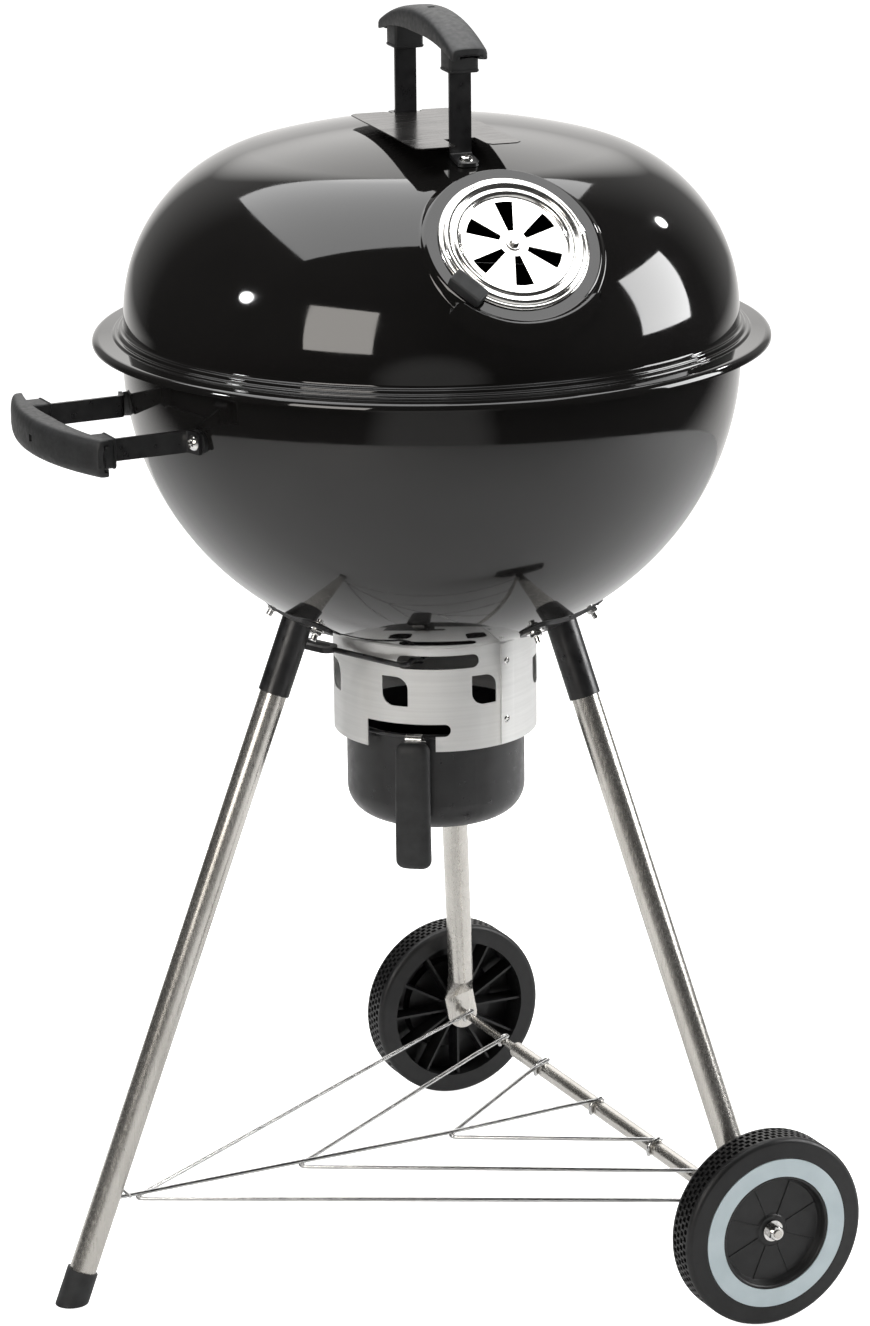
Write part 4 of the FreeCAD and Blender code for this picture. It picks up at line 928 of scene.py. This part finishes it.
# ---- wire rack ---------------------------------------------------------------------
RACK_R = 2.1
RACK_BEND = 11.0
RACK_Z = WHEEL_R + 1.0
RACK_WIRES = ((-320.0, 285.0), (-152.0, 205.0), (8.0, 118.0))      # each V's corner and half width
SLEEVE_R = 8.0
AXLE_R = 4.0
SLEEVE_FROM = -178.0        # left of this the axle is bare


def smooth_path(points, bend, steps=7):
    """The polyline with its inner corners rounded."""
    out = [points[0]]
    for a, b, c in zip(points, points[1:], points[2:]):
        u = (a - b).normalized()
        v = (c - b).normalized()
        reach = min(bend, (a - b).length / 2.2, (c - b).length / 2.2)
        for k in range(steps + 1):
            t = k / steps
            p, q = b + u * reach, b + v * reach
            out.append(p * (1 - t) ** 2 + b * (2 * t * (1 - t)) + q * t * t)
    out.append(points[-1])
    return out


def add_wire(verts, faces, path, r, sides=12):
    """A round wire with domed ends along a path."""
    loops = []
    side = (path[1] - path[0]).orthogonal().normalized()
    last = len(path) - 1
    for i, p in enumerate(path):
        way = (path[min(last, i + 1)] - path[max(0, i - 1)]).normalized()
        side = (side - way * side.dot(way)).normalized()
        other = way.cross(side)
        rings = [(0.0, 1.0)]
        if i == 0:
            rings = [(-0.9, 0.35), (-0.6, 0.78), (0.0, 1.0)]
        if i == last:
            rings = [(0.0, 1.0), (0.6, 0.78), (0.9, 0.35)]
        for shift, scale in rings:
            centre = p + way * (shift * r)
            angles = [math.tau * k / sides for k in range(sides)]
            loops.append([centre + (side * math.cos(a) + other * math.sin(a)) * (r * scale)
                          for a in angles])
    add_loft(verts, faces, loops)


def hook(x, rest_r):
    """Points that carry a wire over the axle at x and down behind it."""
    r = rest_r + RACK_R + 0.12
    angles = [math.radians(118 - 17.5 * k) for k in range(9)]
    return [Vector((x, HUB_Y - r * math.cos(a), WHEEL_R + r * math.sin(a))) for a in angles]


def make_rack():
    """Three V wires and a centre wire, hooked over the axle, with beads where they are welded."""
    verts = []
    faces = []
    for apex, end in RACK_WIRES:
        corner = Vector((0, apex, RACK_Z))
        path = [corner]
        for x in (-end, end):
            rest = AXLE_R if x < SLEEVE_FROM else SLEEVE_R
            height = WHEEL_R + rest * 0.8 + RACK_R
            before = Vector((x * 0.86, HUB_Y - (HUB_Y - apex) * 0.14, height))
            arm = [before] + hook(x, rest)
            path = path + arm if x > 0 else list(reversed(arm)) + path
        add_wire(verts, faces, smooth_path(path, RACK_BEND), RACK_R)
    path = [Vector((0, -333.0, RACK_Z + 4.2)), Vector((0, 8.0, RACK_Z + 4.4)),
            Vector((0, HUB_Y - 40, WHEEL_R + 9.0))] + hook(0, SLEEVE_R)
    add_wire(verts, faces, smooth_path(path, RACK_BEND), RACK_R)
    for apex, _ in RACK_WIRES:
        c = Vector((0, apex + 5.5, RACK_Z + 2.1))
        add_wire(verts, faces, [c + Vector((-3.0, 0, 0)), c, c + Vector((3.0, 0, 0))], 1.9, 10)
    return sharpen(make_piece("rack_wires", verts, faces, None, "wire_rack"), 60)


make_rack()


# ---- camera, lights, floor ---------------------------------------------------------
VIEW = math.radians(-90 + 64.06)    # the main view's direction about the kettle's axis
CAMERA_FAR = 4.1687                 # metres from that axis
CAMERA_HIGH = 1.7993
PITCH = math.radians(-16.42)
ROLL = math.radians(-0.58)
SENSOR = 36.0
FOCAL = 4640.5 / 1326               # focal length over picture height
CLEAR = (0, 0, 0.95)                # the place that most lamps look at: right, away, up


def aim(obj, at):
    way = Vector(at) - obj.location
    obj.rotation_euler = way.to_track_quat("-Z", "Y").to_euler()


def make_camera():
    data = bpy.data.cameras.new("camera")
    data.sensor_width = SENSOR
    data.sensor_fit = "VERTICAL"
    data.sensor_height = SENSOR
    data.lens = FOCAL * SENSOR
    data.clip_end = 100
    cam = bpy.data.objects.new("camera", data)
    bpy.context.scene.collection.objects.link(cam)
    cam.location = (CAMERA_FAR * math.cos(VIEW), AXIS_Y + CAMERA_FAR * math.sin(VIEW), CAMERA_HIGH)
    heading = Matrix.Rotation(VIEW + math.pi / 2, 4, "Z")
    level = heading @ Matrix.Rotation(math.pi / 2 + PITCH, 4, "X")
    cam.rotation_euler = (level @ Matrix.Rotation(ROLL, 4, "Z")).to_euler()
    bpy.context.scene.camera = cam


def from_view(right, away, up):
    """A direction given as seen from the camera: to the right, away from it, and up."""
    c, s = math.cos(VIEW + math.pi / 2), math.sin(VIEW + math.pi / 2)
    return Vector((right * c - away * s, right * s + away * c, up))


def view_frame(right, away, z):
    """A place given as seen from the camera, about the kettle's axis."""
    return from_view(right, away, z) + Vector((0, AXIS_Y, 0))


def softbox(name, toward, distance, size, radiance, colour=(1, 1, 1)):
    """A soft lamp with this radiance, in the direction toward (right, away, up) from CLEAR.

    size is the lamp's width and height, or one number for a round lamp.
    """
    round_one = not isinstance(size, tuple)
    width, height = (size, size) if round_one else size
    data = bpy.data.lights.new(name, "AREA")
    data.shape = "DISK" if round_one else "RECTANGLE"
    data.size = width
    data.size_y = height
    data.energy = radiance * math.pi * width * height * (math.pi / 4 if round_one else 1)
    data.color = colour
    lamp = bpy.data.objects.new(name, data)
    bpy.context.scene.collection.objects.link(lamp)
    way = Vector(toward).normalized() * distance
    lamp.location = view_frame(*(Vector(CLEAR) + way))
    aim(lamp, view_frame(*CLEAR))
    lamp.visible_camera = False
    return lamp


class Sky:
    """World light as soft lobes about directions given as (right, away, up) of the main view."""

    def __init__(self, base):
        world = bpy.data.worlds.new("studio")
        bpy.context.scene.world = world
        world.use_nodes = True
        self.nodes = world.node_tree.nodes
        self.links = world.node_tree.links
        self.coord = self.nodes.new("ShaderNodeTexCoord")
        self.total = None
        self.base = base

    def lobe(self, toward, inner, outer, radiance):
        dot = self.nodes.new("ShaderNodeVectorMath")
        dot.operation = "DOT_PRODUCT"
        self.links.new(self.coord.outputs["Generated"], dot.inputs[0])
        dot.inputs[1].default_value = from_view(*Vector(toward).normalized())
        part = self.nodes.new("ShaderNodeMapRange")
        part.interpolation_type = "SMOOTHSTEP"
        part.inputs["From Min"].default_value = math.cos(math.radians(outer))
        part.inputs["From Max"].default_value = math.cos(math.radians(inner))
        part.inputs["To Max"].default_value = radiance
        self.links.new(dot.outputs["Value"], part.inputs["Value"])
        most = self.nodes.new("ShaderNodeMath")
        most.operation = "MAXIMUM"
        most.inputs[1].default_value = self.base
        self.links.new(part.outputs["Result"], most.inputs[0])
        if self.total is not None:
            self.links.new(self.total, most.inputs[1])
        self.total = most.outputs["Value"]

    def done(self, colour):
        back = self.nodes["Background"]
        back.inputs["Color"].default_value = (*colour, 1)
        self.links.new(self.total, back.inputs["Strength"])


def make_sky():
    """Light behind the grill for the lid's back edge, under it for the bowl, and a faint front."""
    sky = Sky(0.035)
    sky.lobe((0, 0.88, 0.47), 9, 24, 1.75)
    sky.lobe((0, 1, 0.05), 10, 30, 1.0)
    sky.lobe((0, 1, 0.2), 25, 62, 0.28)
    sky.lobe((0, 0.5, -0.85), 48, 64, 1.05)
    sky.lobe((0, -0.93, -0.36), 12, 26, 0.45)
    sky.done((1.0, 0.985, 0.965))


FLOOR_SIDES = 96
FLOOR_R = 10.0
WALL_H = 14.0
SHEET_R = 2.25
FLOOR_LOW = -0.0012         # just under the wheels
SHEET_LOW = -0.0014


def make_floor(name, radius, low, wall, glow, seen):
    """A round pale floor, with a wall where wall isn't 0, for the camera or for the mirrors."""
    s = Surface(name, Roughness=0.9)
    s.colours(s.noise(1.5, detail=4), (0.80, 0.80, 0.80), (0.83, 0.83, 0.83))
    s.bsdf.inputs["Emission Color"].default_value = (1, 1, 1, 1)
    s.bsdf.inputs["Emission Strength"].default_value = glow
    angles = [math.tau * k / FLOOR_SIDES for k in range(FLOOR_SIDES)]
    verts = [(radius * math.cos(a), radius * math.sin(a), low) for a in angles]
    faces = [tuple(range(FLOOR_SIDES))]
    if wall:
        verts += [(x, y, wall) for x, y, _ in verts]
        for k in range(FLOOR_SIDES):
            j = (k + 1) % FLOOR_SIDES
            faces.append((k, FLOOR_SIDES + k, FLOOR_SIDES + j, j))
    mesh = bpy.data.meshes.new(name)
    mesh.from_pydata(verts, [], faces)
    mesh.materials.append(s.mat)
    floor = bpy.data.objects.new(name, mesh)
    bpy.context.scene.collection.objects.link(floor)
    floor.visible_camera = seen
    floor.visible_glossy = not seen
    floor.visible_diffuse = not seen
    floor.visible_shadow = not seen


make_camera()
make_sky()
make_floor("floor_seen", FLOOR_R, FLOOR_LOW, WALL_H, 1.0, True)
make_floor("floor_mirrored", SHEET_R, SHEET_LOW, 0.0, 0.08, False)
ceiling = softbox("ceiling", (0, 0, 1), 1.6, (2.3, 2.15), 3.6)
ceiling.location = view_frame(-0.20, 0.38, 2.55)
ceiling.rotation_euler = (0, 0, VIEW + math.pi / 2)
softbox("window_left", (-0.52, -0.80, 0.22), 3.0, (1.35, 1.35), 6.0, colour=(1, 0.96, 0.91))
softbox("window_right", (0.95, 0.05, 0.20), 2.8, (1.35, 1.45), 11.0)
softbox("lamp_left", (-0.90, -0.27, 0.35), 2.6, 0.25, 66)
softbox("lamp_right", (0.73, 0.50, 0.47), 2.6, 0.20, 55)
bpy.context.scene.view_settings.view_transform = "Standard"
